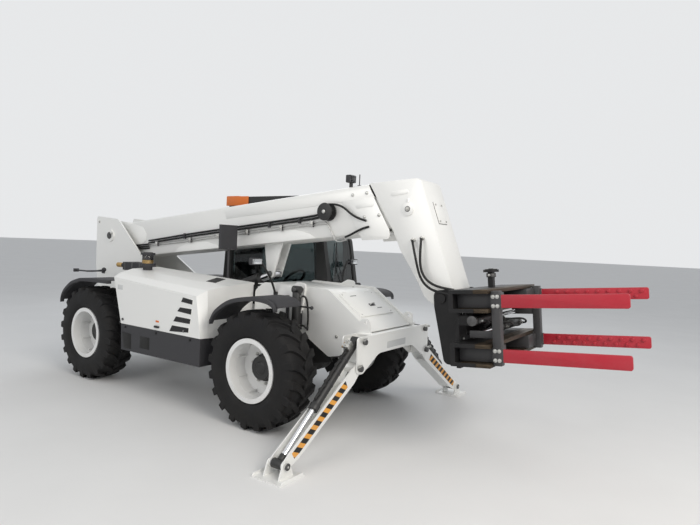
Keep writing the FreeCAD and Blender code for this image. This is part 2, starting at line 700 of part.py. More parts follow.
# the door fills the outer side; it hangs on two hinges at its rear edge
DOOR_T = 40.0
DOOR_GAP = 6.0
HINGE_X = 925.0
HINGE_R = 12.0
door_outline = [
    (1050, CAB_FLOOR + 52, 40.0), (928, 1250, 60.0), (1026, CAB_ROOF - 120, 40.0),
    (2235, CAB_ROOF - 120, 60.0), (2655, 2010, 100.0), (2680, 1600, 60.0),
    (2380, 1330, 120.0), (2200, 1000, 120.0), (2170, CAB_FLOOR + 52, 40.0),
]
door_face = Part.Face(wire(door_outline))
side_frame = outline_solid(Part.Face(wire(cab_outline)), CAB_OUT - DOOR_T, CAB_OUT).cut([
    outline_solid(shrunk(door_outline, -DOOR_GAP), CAB_OUT - 200, CAB_OUT + 200),
    wheel_arch(ARCH_R, 0),
])
side_frame = side_frame.common(box(0, 4000, 0, 3000, 0, CAB_ROOF - 90))
parts["cab_frame"] = parts["cab_frame"].fuse(side_frame).removeSplitter()
door = outline_solid(Part.Face(wire(door_outline)), CAB_OUT - DOOR_T, CAB_OUT + 6)
door_pane_face = shrunk(door_outline, 55)
door = door.cut(outline_solid(door_pane_face, CAB_OUT - 200, CAB_OUT + 200))
hinge_y = CAB_OUT + HINGE_R + 10
hinge_heights = (1250.0, 1860.0)
for z in hinge_heights:
    door = door.fuse([
        rod((HINGE_X, hinge_y, z), (HINGE_X, hinge_y, z + 60), HINGE_R),
        box(HINGE_X + 2, HINGE_X + 110, CAB_OUT + 2, hinge_y, z, z + 60),
    ])
parts["cab_door"] = door.removeSplitter()
parts["door_glass"] = outline_solid(door_pane_face, CAB_OUT - 20, CAB_OUT - 20 + GLASS_T)
pins = []
for z in hinge_heights:
    pins.append(fuse([
        rod((HINGE_X, hinge_y, z - 60), (HINGE_X, hinge_y, z - SIDE_GAP), HINGE_R),
        box(HINGE_X - 25, HINGE_X - 7, CAB_OUT - 5, hinge_y, z - 60, z - SIDE_GAP),
    ]))
parts["cab_frame"] = parts["cab_frame"].fuse(pins).removeSplitter()

parts["seat"] = fuse([
    box(1150, 1650, 560, 1020, 1120, 1230),
    side_plate([(1050, 1230), (1180, 1230), (1130, 1900, 40.0), (1000, 1900, 40.0)], 570, 1010),
    box(1230, 1560, 640, 940, CAB_FLOOR + CAB_WALL, 1120),
])
parts["steering_column"] = fuse([
    side_plate([(2030, CAB_FLOOR + CAB_WALL), (2200, CAB_FLOOR + CAB_WALL), (2240, 1260, 40.0),
                (2130, 1300, 40.0)], 680, 900),
    rod((2190, 790, 1240), (2010, 790, 1430), 28),
    Part.makeCylinder(194, 24, V(2009, 790, 1432), V(-0.743, 0, 0.669)).cut(
        Part.makeCylinder(168, 60, V(2020, 790, 1422), V(-0.743, 0, 0.669))),
    rod((2010, 615, 1436), (2010, 965, 1436), 9),
])

parts["roof_beacon"] = fuse([
    box(940, 1150, CAB_IN - 10, CAB_IN + 130, CAB_ROOF + 0.1, CAB_ROOF + 18),
])

# ---------------------------------------------------------------- small fittings
parts["air_cleaner"] = fuse([
    rod((780, -760, 1480), (780, -760, 1560), 60),
    rod((780, -760, 1560), (780, -760, 1590), 85),
    rod((780, -760, 1590), (780, -760, 1720), 72),
    rod((780, -760, 1720), (780, -760, 1745), 88),
]).cut(hood_solid(0.0))
parts["exhaust_box"] = fuse([
    box(120, 560, -700, -480, 1480, 1590),
    rod((-160, -590, 1535), (130, -590, 1535), 30),
    box(300, 420, -560, -RAIL_Y, 1250, 1490),
])
mirror_y = -(HOOD_IN + RAIL_Y + RAIL_T) / 2.0
parts["mirror"] = fuse([
    box(1905, 1945, mirror_y - 150, mirror_y + 120, 1840, 2150),
    rod((1925, mirror_y, RAIL_TOP - 60), (1925, mirror_y, 1850), 14),
    box(1905, 1945, mirror_y - 14, -RAIL_Y - RAIL_T, RAIL_TOP - 100, RAIL_TOP - 40),
])
lamp_parts = []
lamp_table = [  # x, y, foot z, lamp z, y of what carries the foot
    (2610.0, -505.0, 1330.0, 1700.0, -NOSE_Y - NOSE_T),
    (3100.0, 560.0, TYRE_R + 790.0 - 5.5, 1520.0, 560.0),
]
for x, y, foot, top, toward in lamp_table:
    lamp_parts.append(fuse([
        rod((x, y, foot), (x, y, top), 13),
        box(x - 30, x + 32, y - 62, y + 62, top - 20, top + 80),
        box(x - 14, x + 14, min(y - 14, toward), max(y + 14, toward), foot, foot + 28),
    ]))
parts["work_lamps"] = Part.makeCompound(lamp_parts)

# ---------------------------------------------------------------- boom
def boom_section(half, top, bottom, chamfer, u0, u1):
    return front_plate([
        (-half, bottom), (half, bottom), (half, top - chamfer), (half - chamfer, top),
        (-half + chamfer, top), (-half, top - chamfer),
    ], u0, u1)


outer = boom_section(BOOM_HALF, BOOM_TOP, BOOM_BOTTOM, BOOM_CHAMFER, -170, BOOM_FRONT)
room = boom_section(BOOM_HALF - BOOM_WALL, BOOM_TOP - BOOM_WALL, INNER_BOTTOM - INNER_GAP,
                    BOOM_CHAMFER, 150, BOOM_FRONT + 10)
skirt = box(700, BOOM_FRONT + 10, -BOOM_HALF + 30, BOOM_HALF - 30, BOOM_BOTTOM - 10,
            INNER_BOTTOM - INNER_GAP - BOOM_WALL)
outer = outer.cut([room, skirt])
outer = outer.common(side_plate([
    (-170, BOOM_TOP + 10, 60.0), (-170, -190, 150.0), (620, BOOM_BOTTOM, 150.0),
    (4040, BOOM_BOTTOM, 60.0), (BOOM_FRONT, -520), (BOOM_FRONT, BOOM_TOP + 10),
], -500, 500))
outer = outer.fuse(rod((0, -RAIL_Y - 30, 0), (0, RAIL_Y + 30, 0), PIVOT_R))
outer = outer.fuse(both(rod((0, BOOM_HALF - 20, 0), (0, RAIL_Y - TOWER_T - 21, 0), PIVOT_BOSS_R)))
pads = [
    box(BOOM_FRONT - 220, BOOM_FRONT - 20, -120, 120, INNER_BOTTOM - INNER_GAP - 1,
        INNER_BOTTOM - SIDE_GAP),
    box(BOOM_FRONT - 220, BOOM_FRONT - 20, -120, 120, BOOM_TOP - BOOM_WALL - INNER_GAP + SIDE_GAP,
        BOOM_TOP - BOOM_WALL + 1),
]
side_pad = box(BOOM_FRONT - 220, BOOM_FRONT - 20, BOOM_HALF - BOOM_WALL - INNER_GAP + SIDE_GAP,
               BOOM_HALF - BOOM_WALL + 1, -400, -120)
outer = outer.fuse(pads + both(side_pad))
eye_u, eye_w = boom_frame_point(LIFT_EYE_X, LIFT_EYE_Z)
lift_bracket = side_plate([
    (eye_u - 230, INNER_BOTTOM - INNER_GAP - BOOM_WALL - 5),
    (eye_u + 230, INNER_BOTTOM - INNER_GAP - BOOM_WALL - 5),
    (eye_u + 75, eye_w - 75, 55.0), (eye_u - 75, eye_w - 75, 55.0),
], LIFT_EYE_HALF + 6, LIFT_EYE_HALF + 31)
lift_bracket = lift_bracket.fuse(rod((eye_u, LIFT_EYE_HALF + 6, eye_w),
                                     (eye_u, LIFT_EYE_HALF + 45, eye_w), LIFT_PIN_R + 10))
bracket_tie = box(eye_u - 230, eye_u + 230, LIFT_EYE_HALF + 6, BOOM_HALF - 5,
                  INNER_BOTTOM - INNER_GAP - BOOM_WALL - 20, INNER_BOTTOM - INNER_GAP - BOOM_WALL + 5)
outer = outer.fuse(both(lift_bracket) + both(bracket_tie)).removeSplitter()
parts["boom_outer"] = on_boom(outer)

inner_half = BOOM_HALF - BOOM_WALL - INNER_GAP
inner_top = BOOM_TOP - BOOM_WALL - INNER_GAP
head_u, head_w = boom_frame_point(3870, 2300)
inner = boom_section(inner_half, inner_top, INNER_BOTTOM, BOOM_CHAMFER, INNER_REAR, head_u + 40)
inner = inner.cut(boom_section(inner_half - INNER_WALL, inner_top - INNER_WALL,
                               INNER_BOTTOM + INNER_WALL, BOOM_CHAMFER, INNER_REAR - 10, head_u + 50))
inner = on_boom(inner)
head_outline = [
    (3870, 2640, 30.0), (4482, 2682, 40.0), (4905, 1545, 60.0), (4770, 1392, 60.0),
    (4598, 1472, 30.0), (4188, 1943, 120.0), (3870, 2030, 20.0),
]
head = outline_solid(Part.Face(wire(head_outline)), -HEAD_HALF, HEAD_HALF)
head = head.cut(outline_solid(shrunk(head_outline, HEAD_WALL), -HEAD_HALF + HEAD_WALL,
                              HEAD_HALF - HEAD_WALL))
head = head.fuse(rod((TILT_X, -HEAD_HALF, TILT_Z), (TILT_X, HEAD_HALF, TILT_Z), TILT_R + 20))
head = head.cut(rod((TILT_X, -500, TILT_Z), (TILT_X, 500, TILT_Z), TILT_R + RUN_FIT))
parts["boom_inner"] = inner.fuse(head).removeSplitter()

parts["boom_lines"] = Part.makeCompound([
    fuse([
        on_boom(rod((4080, -BOOM_HALF - 0.1, -210), (4080, -BOOM_HALF - 95, -210), 75)),
    ]),
    on_boom(box(700, 3900, -BOOM_HALF - 24, -BOOM_HALF - 0.1, -300, -276)),
])

# ---------------------------------------------------------------- lift cylinder
def lift_span(rise):
    """The distance from the base pin to the rod's eye with the boom raised by rise."""
    t = math.radians(rise)
    ex, ez = LIFT_EYE_X - PIVOT_X, LIFT_EYE_Z - PIVOT_Z
    x = PIVOT_X + ex * math.cos(t) - ez * math.sin(t)
    z = PIVOT_Z + ex * math.sin(t) + ez * math.cos(t)
    return math.hypot(x - LIFT_BASE_X, z - LIFT_BASE_Z)


LIFT_LEN = lift_span(0.0)
LIFT_CLOSED = lift_span(-BOOM_DROP)
LIFT_ANGLE = math.degrees(math.atan2(LIFT_EYE_Z - LIFT_BASE_Z, LIFT_EYE_X - LIFT_BASE_X))
# along its own X from the base pin
barrel_end = LIFT_CLOSED - LIFT_END_GAP
lift_bore = LIFT_BARREL_R - LIFT_WALL
lift_barrel = rod((LIFT_BACK, 0, 0), (barrel_end, 0, 0), LIFT_BARREL_R)
lift_barrel = lift_barrel.cut(rod(
    (LIFT_BACK + LIFT_FLOOR, 0, 0), (barrel_end - LIFT_GLAND, 0, 0), lift_bore
))
lift_barrel = lift_barrel.fuse(box(0, LIFT_BACK + 15, -LIFT_EYE_HALF + 4, LIFT_EYE_HALF - 4,
                                   -55, 55))
lift_barrel = lift_barrel.fuse(rod((0, -LIFT_EYE_HALF, 0), (0, LIFT_EYE_HALF, 0), LIFT_EYE_R + 10))
lift_barrel = lift_barrel.cut([
    rod((barrel_end - LIFT_GLAND - 10, 0, 0), (barrel_end + 10, 0, 0), LIFT_ROD_R + RUN_FIT),
    rod((0, -100, 0), (0, 100, 0), LIFT_PIN_R + RUN_FIT),
])
parts["lift_barrel"] = tilted(lift_barrel, LIFT_BASE_X, LIFT_BASE_Z, LIFT_ANGLE)
piston = LIFT_BACK + LIFT_FLOOR + (LIFT_LEN - LIFT_CLOSED) + 15
lift_rod = rod((piston + PISTON_T / 2, 0, 0), (LIFT_LEN - 20, 0, 0), LIFT_ROD_R)
lift_rod = lift_rod.fuse([
    rod((piston, 0, 0), (piston + PISTON_T, 0, 0), lift_bore - 0.3),
    rod((LIFT_LEN, -LIFT_EYE_HALF, 0), (LIFT_LEN, LIFT_EYE_HALF, 0), LIFT_EYE_R),
])
parts["lift_rod"] = tilted(lift_rod, LIFT_BASE_X, LIFT_BASE_Z, LIFT_ANGLE)

# ---------------------------------------------------------------- carriage and clamp
ta, tb = clamp_frame_point(TILT_X, TILT_Z)
cheek = side_plate([
    (ta - 85, tb + 75, 60.0), (ta - 85, tb - 80, 60.0), (-330, -400, 60.0), (-150, -420),
    (-150, 300), (ta + 110, tb + 95, 60.0),
], HEAD_HALF + 14, HEAD_HALF + 14 + CARRIAGE_T)
carriage = both(cheek) + [
    box(-170, -130, -330, 330, -420, 310),
    rod((ta, -HEAD_HALF - 60, tb), (ta, HEAD_HALF + 60, tb), TILT_R),
    rod((-290, -HEAD_HALF - 14, -300), (-290, HEAD_HALF + 14, -300), 45),
    rod((-131, 0, 0), (-95, 0, 0), RING_R),
]
parts["carriage"] = on_clamp(fuse(carriage))

frame_pieces = [
    rod((-94.5, 0, 0), (-60, 0, 0), RING_R),
    box(-62, -30, -560, 560, -RAIL_OUT, RAIL_OUT),
]
for low in (RAIL_IN, -RAIL_OUT):
    high = low + RAIL_OUT - RAIL_IN
    frame_pieces.append(box(-62, -20, -RAIL_HALF, RAIL_HALF, low, high))
    frame_pieces.append(box(-62, RAIL_REACH, -RAIL_HALF, RAIL_HALF, low, low + RAIL_FLANGE))
    frame_pieces.append(box(-62, RAIL_REACH, -RAIL_HALF, RAIL_HALF, high - RAIL_FLANGE, high))
clamp_frame = fuse(frame_pieces)
clamp_frame = clamp_frame.cut(box(-70, -20, -400, -60, -100, 100))
clamp_frame = clamp_frame.cut(box(-70, -20, 60, 400, -100, 100))
parts["clamp_frame"] = on_clamp(clamp_frame)

post = fuse([
    box(60, 110, -30, 30, RAIL_OUT + 0.1, RAIL_OUT + 150),
    rod((85, 0, RAIL_OUT + 145), (85, 0, RAIL_OUT + 170), 75),
])
parts["hose_post"] = on_clamp(post)

# one side's slider, upright and two arms
slide_gap = 3.0
slide_seat = 0.5
arm_side = []
for low in (RAIL_IN, -RAIL_OUT):
    high = low + RAIL_OUT - RAIL_IN
    arm_side.append(box(-20 + slide_gap, RAIL_REACH + 20, ARM_Y - 280, ARM_Y - 20,
                        low + RAIL_FLANGE + slide_seat, high - RAIL_FLANGE - slide_gap))
arm_side.append(box(RAIL_REACH + 6, ARM_ROOT + 20, ARM_Y - 60, ARM_Y + 16, -320, 320))
for mid in (ARM_MID, -ARM_MID):
    arm_side.append(side_plate([
        (ARM_ROOT - 60, mid - ARM_H / 2), (ARM_TIP, mid - ARM_H / 2, 30.0),
        (ARM_TIP, mid + ARM_H / 2, 30.0), (ARM_ROOT - 60, mid + ARM_H / 2),
    ], ARM_Y - ARM_T / 2, ARM_Y + ARM_T / 2))
arm_side = fuse(arm_side)
parts["clamp_arms_left"] = on_clamp(arm_side)
parts["clamp_arms_right"] = on_clamp(other_side(arm_side))

# ---------------------------------------------------------------- stabilisers
leg_len = math.hypot(FOOT_Y - LEG_PIVOT_Y, LEG_PIVOT_Z - FOOT_Z)
leg_drop = math.degrees(math.atan2(LEG_PIVOT_Z - FOOT_Z, FOOT_Y - LEG_PIVOT_Y))
stab_len = math.hypot(FOOT_Y - STAB_TOP_Y, STAB_TOP_Z - FOOT_Z)
stab_drop = math.degrees(math.atan2(STAB_TOP_Z - FOOT_Z, FOOT_Y - STAB_TOP_Y))


def sloped(shape, y, z, drop):
    """From a frame whose Y runs down the piece and Z across it to the left side."""
    placed = shape.copy()
    placed.rotate(V(0, 0, 0), V(1, 0, 0), -drop)
    placed.translate(V(BEAM_X - BEAM_DEPTH / 2, y, z))
    return placed


leg_profile = [
    (-55, -55, 50.0), (-55, 45, 50.0), (90, 62, 40.0), (leg_len - 60, 50, 30.0),
    (leg_len + 42, 40, 38.0), (leg_len + 42, -40, 38.0), (leg_len - 160, -82, 60.0),
    (120, -92, 60.0),
]
leg_plate = front_plate(leg_profile, LEG_HALF - LEG_PLATE, LEG_HALF)
leg = fuse([
    leg_plate,
    leg_plate.mirror(V(0, 0, 0), V(1, 0, 0)),
    box(-LEG_HALF, LEG_HALF, 150, leg_len - 190, -86, -76),
    rod((-LEG_HALF, 0, 0), (LEG_HALF, 0, 0), 50),
])
leg = leg.cut(rod((-200, 0, 0), (200, 0, 0), STAB_PIN_R + 5 + RUN_FIT))
leg = leg.cut([
    rod((-200, leg_len, 0), (-LEG_HALF + LEG_PLATE + 1, leg_len, 0), STAB_PIN_R + RUN_FIT),
    rod((LEG_HALF - LEG_PLATE - 1, leg_len, 0), (200, leg_len, 0), STAB_PIN_R + RUN_FIT),
])
leg = sloped(leg, LEG_PIVOT_Y, LEG_PIVOT_Z, leg_drop)

stab_end = stab_len * 0.60
stab_barrel = rod((0, 50, 0), (0, stab_end, 0), STAB_BARREL_R)
stab_barrel = stab_barrel.cut(rod((0, 70, 0), (0, stab_end - 30, 0), STAB_BARREL_R - 8))
stab_barrel = stab_barrel.fuse(rod((-45, 0, 0), (45, 0, 0), STAB_EYE_R + 2))
stab_barrel = stab_barrel.fuse(box(-25, 25, 0, 60, -35, 35))
stab_barrel = stab_barrel.cut([
    rod((0, stab_end - 40, 0), (0, stab_end + 10, 0), STAB_ROD_R + RUN_FIT),
    rod((-100, 0, 0), (100, 0, 0), STAB_PIN_R + RUN_FIT),
])
stab_barrel = sloped(stab_barrel, STAB_TOP_Y, STAB_TOP_Z, stab_drop)
stab_rod = rod((0, stab_end - 410, 0), (0, stab_len - 20, 0), STAB_ROD_R).fuse([
    rod((0, stab_end - 430, 0), (0, stab_end - 390, 0), STAB_BARREL_R - 8 - 0.3),
    rod((-LEG_HALF + LEG_PLATE + 6, stab_len, 0), (LEG_HALF - LEG_PLATE - 6, stab_len, 0), STAB_EYE_R),
])
stab_rod = sloped(stab_rod, STAB_TOP_Y, STAB_TOP_Z, stab_drop)

ear = front_plate([
    (FOOT_Y - 90, PAD_T), (FOOT_Y + 90, PAD_T), (FOOT_Y + 38, FOOT_Z + 38, 36.0),
    (FOOT_Y - 38, FOOT_Z + 38, 36.0),
], LEG_HALF + 3, LEG_HALF + 15)
ear = ear.fuse(rod((LEG_HALF - LEG_PLATE, FOOT_Y, FOOT_Z), (LEG_HALF + 26, FOOT_Y, FOOT_Z),
                   STAB_PIN_R))
pad = fuse([
    ear,
    ear.mirror(V(0, 0, 0), V(1, 0, 0)),
    box(-PAD_LEN / 2, PAD_LEN / 2, FOOT_Y - PAD_W / 2, FOOT_Y + PAD_W / 2, 0, PAD_T),
])
pad.translate(V(BEAM_X - BEAM_DEPTH / 2, 0, 0))

for name, shape in (("stabiliser_leg", leg), ("stabiliser_barrel", stab_barrel),
                    ("stabiliser_rod", stab_rod), ("stabiliser_pad", pad)):
    parts[name + "_left"] = shape
    parts[name + "_right"] = other_side(shape)

# ---------------------------------------------------------------- out
os.makedirs("parts", exist_ok=True)
for name in sorted(parts):
    shape = parts[name].copy()
    shape.translate(V(-MIDDLE, 0, 0))
    solids = shape.Solids
    if not solids or not shape.isValid():
        print("BAD", name, len(solids), shape.isValid())
    if len(solids) == 1:
        shape = solids[0]
    shape.exportStep("parts/%s.step" % name)
print(len(parts), "parts; middle at", MIDDLE)
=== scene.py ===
import math

import bpy
from mathutils import Matrix, Vector


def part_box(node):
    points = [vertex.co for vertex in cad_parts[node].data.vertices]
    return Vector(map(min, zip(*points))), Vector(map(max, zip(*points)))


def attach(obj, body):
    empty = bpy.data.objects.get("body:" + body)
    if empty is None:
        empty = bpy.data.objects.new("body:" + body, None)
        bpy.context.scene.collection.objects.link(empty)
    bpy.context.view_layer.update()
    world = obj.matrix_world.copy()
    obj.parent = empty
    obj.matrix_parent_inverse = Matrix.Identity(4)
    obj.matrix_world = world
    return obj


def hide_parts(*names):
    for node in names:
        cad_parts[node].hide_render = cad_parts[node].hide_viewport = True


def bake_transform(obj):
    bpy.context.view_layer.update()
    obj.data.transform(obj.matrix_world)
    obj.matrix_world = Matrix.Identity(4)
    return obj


bl_info = {
    "name": "Clamp Telehandler",
    "version": (1, 0, 0),
    "blender": (4, 5, 0),
    "location": "View3D > Sidebar > Telehandler",
    "description": "Finishes a telehandler with a rotating four-arm clamp",
    "category": "Object",
}

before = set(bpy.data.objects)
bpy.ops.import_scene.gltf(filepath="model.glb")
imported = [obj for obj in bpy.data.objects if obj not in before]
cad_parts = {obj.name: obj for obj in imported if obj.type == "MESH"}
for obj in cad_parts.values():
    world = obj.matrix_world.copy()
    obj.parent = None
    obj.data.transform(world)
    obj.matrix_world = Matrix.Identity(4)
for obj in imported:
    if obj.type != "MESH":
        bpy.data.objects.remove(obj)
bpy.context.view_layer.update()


def middle(node):
    low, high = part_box(node)
    return [(a + b) / 2.0 for a, b in zip(low, high)]


# the machine's own frame has its origin on the ground under the rear axle
REAR_AXLE_X = middle("tyre_rear_left")[0]
AXLES = {"rear": 0.0, "front": middle("tyre_front_left")[0] - REAR_AXLE_X}
WHEEL_Y = middle("tyre_rear_left")[1]
TYRE_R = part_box("tyre_rear_left")[1][2] / 2.0
TYRE_HALF = (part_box("tyre_rear_left")[1][1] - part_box("tyre_rear_left")[0][1]) / 2.0

# the boom's own frame as measured, and the clamp's centre and slope that the CAD shares
BOOM_AT = (-0.980, 2.115)
BOOM_SLOPE = math.radians(6.2)
CLAMP_AT = (5.150, 1.275)
CLAMP_SLOPE = math.radians(5.5)
BEAM_X = 4.171
BEAM_DEPTH = 0.190
LEG_AT = (0.715, 0.755)
FOOT_AT = (1.750, 0.105)
STAB_TOP = (0.655, 1.010)
CAP_B = 0.505


def machine():
    """From the machine's own frame to the record's."""
    return Matrix.Translation((REAR_AXLE_X, 0.0, 0.0))


def slope_frame(at, slope):
    turn = Matrix.Rotation(-slope, 4, "Y")
    return machine() @ Matrix.Translation((at[0], 0.0, at[1])) @ turn


def boom():
    return slope_frame(BOOM_AT, BOOM_SLOPE)


def clamp():
    return slope_frame(CLAMP_AT, CLAMP_SLOPE)


def wheel(end, side):
    place = Matrix.Translation((AXLES[end], side * WHEEL_Y, TYRE_R))
    flip = Matrix.Diagonal((1.0, side, 1.0, 1.0))
    return machine() @ place @ flip


def leg_line(start, end, side):
    """Y runs down the leg from start to end, Z stands square on it, X stays across it."""
    drop = math.atan2(start[1] - end[1], end[0] - start[0])
    place = Matrix.Translation((BEAM_X - BEAM_DEPTH / 2, start[0], start[1]))
    flip = Matrix.Diagonal((1.0, side, 1.0, 1.0))
    return machine() @ flip @ place @ Matrix.Rotation(-drop, 4, "X")


# modelling steps
def clear_selection():
    if bpy.context.object and bpy.context.object.mode != "OBJECT":
        bpy.ops.object.mode_set(mode="OBJECT")
    bpy.ops.object.select_all(action="DESELECT")


def pick(*objects):
    clear_selection()
    for obj in objects:
        obj.select_set(True)
    bpy.context.view_layer.objects.active = objects[0]


def settle(obj):
    """The object's place, turn and size go into its mesh."""
    pick(obj)
    bpy.ops.object.transform_apply(location=True, rotation=True, scale=True)
    return obj


def edit(obj, choose="SELECT"):
    pick(obj)
    bpy.ops.object.mode_set(mode="EDIT")
    bpy.ops.mesh.select_all(action=choose)


def done():
    bpy.ops.object.mode_set(mode="OBJECT")
    return bpy.context.object


def outward(obj):
    edit(obj)
    bpy.ops.mesh.remove_doubles(threshold=0.00002)
    bpy.ops.mesh.normals_make_consistent(inside=False)
    return done()


def round_edges(obj, width, segments=2, angle=35.0):
    if width:
        pick(obj)
        bevel = obj.modifiers.new("round", "BEVEL")
        bevel.width = width
        bevel.segments = segments
        bevel.limit_method = "ANGLE"
        bevel.angle_limit = math.radians(angle)
        bpy.ops.object.modifier_apply(modifier=bevel.name)
    return obj


def smooth(obj, angle=35.0):
    pick(obj)
    bpy.ops.object.shade_smooth_by_angle(angle=math.radians(angle))
    return obj


def block(x, y, z, edge=0.0):
    """A block between the pairs x, y and z."""
    centre = [(a + b) / 2.0 for a, b in (x, y, z)]
    size = [abs(b - a) for a, b in (x, y, z)]
    bpy.ops.mesh.primitive_cube_add(size=1.0, location=centre, scale=size)
    return round_edges(settle(bpy.context.object), edge)


def bar(start, end, radius, sides=24, edge=0.0, tip=None):
    """A round bar, or a cone where tip is its radius at the end."""
    start, end = Vector(start), Vector(end)
    line = end - start
    turn = line.to_track_quat("Z", "Y").to_euler()
    mid = (start + end) / 2.0
    if tip is None:
        bpy.ops.mesh.primitive_cylinder_add(
            vertices=sides, radius=radius, depth=line.length, location=mid, rotation=turn
        )
    else:
        bpy.ops.mesh.primitive_cone_add(
            vertices=sides, radius1=radius, radius2=tip, depth=line.length, location=mid,
            rotation=turn
        )
    return round_edges(settle(bpy.context.object), edge)


def plate(outline, near, far, axes="xz", edge=0.0):
    """An outline in two axes, extruded along the third from near to far."""
    order = {"xz": (0, 2, 1), "yz": (1, 2, 0), "xy": (0, 1, 2)}[axes]
    bpy.ops.mesh.primitive_circle_add(vertices=len(outline), fill_type="NGON")
    obj = bpy.context.object
    for vert, point in zip(obj.data.vertices, outline):
        spot = [0.0, 0.0, 0.0]
        spot[order[0]], spot[order[1]], spot[order[2]] = point[0], point[1], near
        vert.co = spot
    push = [0.0, 0.0, 0.0]
    push[order[2]] = far - near
    edit(obj)
    bpy.ops.mesh.extrude_region_move(TRANSFORM_OT_translate={"value": push})
    bpy.ops.mesh.select_all(action="SELECT")
    bpy.ops.mesh.normals_make_consistent(inside=False)
    return round_edges(done(), edge)


def turned(profile, steps=48, axis="Y"):
    """A closed (along, radius) profile spun about an axis through the origin."""
    bpy.ops.mesh.primitive_circle_add(vertices=len(profile), fill_type="NOTHING")
    obj = bpy.context.object
    for vert, (along, radius) in zip(obj.data.vertices, profile):
        vert.co = (radius, along, 0.0) if axis == "Y" else (along, radius, 0.0)
    edit(obj)
    bpy.ops.mesh.spin(
        steps=steps, angle=2 * math.pi, center=(0, 0, 0), axis=(0, 1, 0) if axis == "Y" else (1, 0, 0)
    )
    done()
    return outward(obj)


def hose(points, radius, sides=3, order=4):
    """A smooth round line through space, as a mesh."""
    curve = bpy.data.curves.new("line", "CURVE")
    curve.dimensions = "3D"
    curve.bevel_depth = radius
    curve.bevel_resolution = sides
    curve.resolution_u = 8
    curve.use_fill_caps = True
    run = curve.splines.new("NURBS")
    run.points.add(len(points) - 1)
    for spot, point in zip(run.points, points):
        spot.co = (*point, 1.0)
    run.order_u = min(order, len(points))
    run.use_endpoint_u = True
    obj = bpy.data.objects.new("line", curve)
    bpy.context.collection.objects.link(obj)
    pick(obj)
    bpy.ops.object.convert(target="MESH")
    return bpy.context.object


def copy_of(obj, matrix):
    twin = obj.copy()
    twin.data = obj.data.copy()
    bpy.context.collection.objects.link(twin)
    twin.matrix_world = matrix
    return settle(twin)


def ring_of(obj, count, axis="Y", start=0.0):
    """Copies of a piece round an axis, joined."""
    copies = [copy_of(obj, Matrix.Rotation(start + 2 * math.pi * k / count, 4, axis))
              for k in range(count)]
    bpy.data.objects.remove(obj)
    return join(copies)


def join(objects):
    pick(*objects)
    bpy.ops.object.join()
    return bpy.context.object


def dress(obj, finish):
    obj.data.materials.clear()
    obj.data.materials.append(bpy.data.materials[finish])
    return obj


def about(centre, half):
    """The two ends of a span round its middle."""
    return centre - half, centre + half


def across(side, near, far):
    """A span on one side of the machine, its smaller end first."""
    return sorted((side * near, side * far))


def put(shapes, finish, *rows):
    """Makes a shape of each row, a maker and its sizes, all in one finish."""
    for make, *sizes in rows:
        shapes.append(dress(make(*sizes), finish))


def finish_piece(name, objects, body, place=None):
    """Joins the finished shapes, moves them to the record's frame and rides them on a body."""
    obj = join(objects) if len(objects) > 1 else objects[0]
    pick(obj)
    obj.matrix_world = place if place is not None else machine()
    settle(obj)
    if place is not None and place.determinant() < 0:
        edit(obj)
        bpy.ops.mesh.normals_make_consistent(inside=False)
        done()
    smooth(obj)
    obj.name = name
    obj.data.name = name
    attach(obj, body)
    return obj


# finishes
def new_finish(name):
    mat = bpy.data.materials.new(name)
    mat.use_nodes = True
    tree = mat.node_tree
    return tree, tree.nodes["Principled BSDF"]


def place_on_object(tree, stretch=(1.0, 1.0, 1.0)):
    coord = tree.nodes.new("ShaderNodeTexCoord")
    mapping = tree.nodes.new("ShaderNodeMapping")
    mapping.inputs["Scale"].default_value = stretch
    tree.links.new(coord.outputs["Object"], mapping.inputs["Vector"])
    return mapping.outputs["Vector"]


def noise(tree, scale, detail=5.0, roughness=0.55, stretch=(1.0, 1.0, 1.0)):
    node = tree.nodes.new("ShaderNodeTexNoise")
    node.inputs["Scale"].default_value = scale
    node.inputs["Detail"].default_value = detail
    node.inputs["Roughness"].default_value = roughness
    tree.links.new(place_on_object(tree, stretch), node.inputs["Vector"])
    return node.outputs["Fac"]


def spread(tree, value, low, high, to_low=0.0, to_high=1.0):
    node = tree.nodes.new("ShaderNodeMapRange")
    node.inputs["From Min"].default_value = low
    node.inputs["From Max"].default_value = high
    node.inputs["To Min"].default_value = to_low
    node.inputs["To Max"].default_value = to_high
    tree.links.new(value, node.inputs["Value"])
    return node.outputs["Result"]


def times(tree, a, b, operation="MULTIPLY"):
    node = tree.nodes.new("ShaderNodeMath")
    node.operation = operation
    node.use_clamp = True
    for value, socket in ((a, node.inputs[0]), (b, node.inputs[1])):
        if isinstance(value, float):
            socket.default_value = value
        else:
            tree.links.new(value, socket)
    return node.outputs["Value"]


def colour_sockets(node):
    return [s for s in node.inputs if s.type == "RGBA"]


def mixed(tree, amount, first, second):
    """Two colours mixed by amount."""
    node = tree.nodes.new("ShaderNodeMix")
    node.data_type = "RGBA"
    tree.links.new(amount, node.inputs[0])
    for value, socket in zip((first, second), colour_sockets(node)):
        if isinstance(value, (tuple, list)) or hasattr(value, "__len__"):
            socket.default_value = (*tuple(value)[:3], 1.0)
        else:
            tree.links.new(value, socket)
    return [s for s in node.outputs if s.type == "RGBA"][0]


def edges_of(tree, radius):
    """(softened normal, how near an edge a point is)."""
    soft = tree.nodes.new("ShaderNodeBevel")
    soft.samples = 4
    soft.inputs["Radius"].default_value = radius
    flat = tree.nodes.new("ShaderNodeNewGeometry")
    dot = tree.nodes.new("ShaderNodeVectorMath")
    dot.operation = "DOT_PRODUCT"
    tree.links.new(soft.outputs["Normal"], dot.inputs[0])
    tree.links.new(flat.outputs["Normal"], dot.inputs[1])
    return soft.outputs["Normal"], spread(tree, dot.outputs["Value"], 0.995, 0.88)


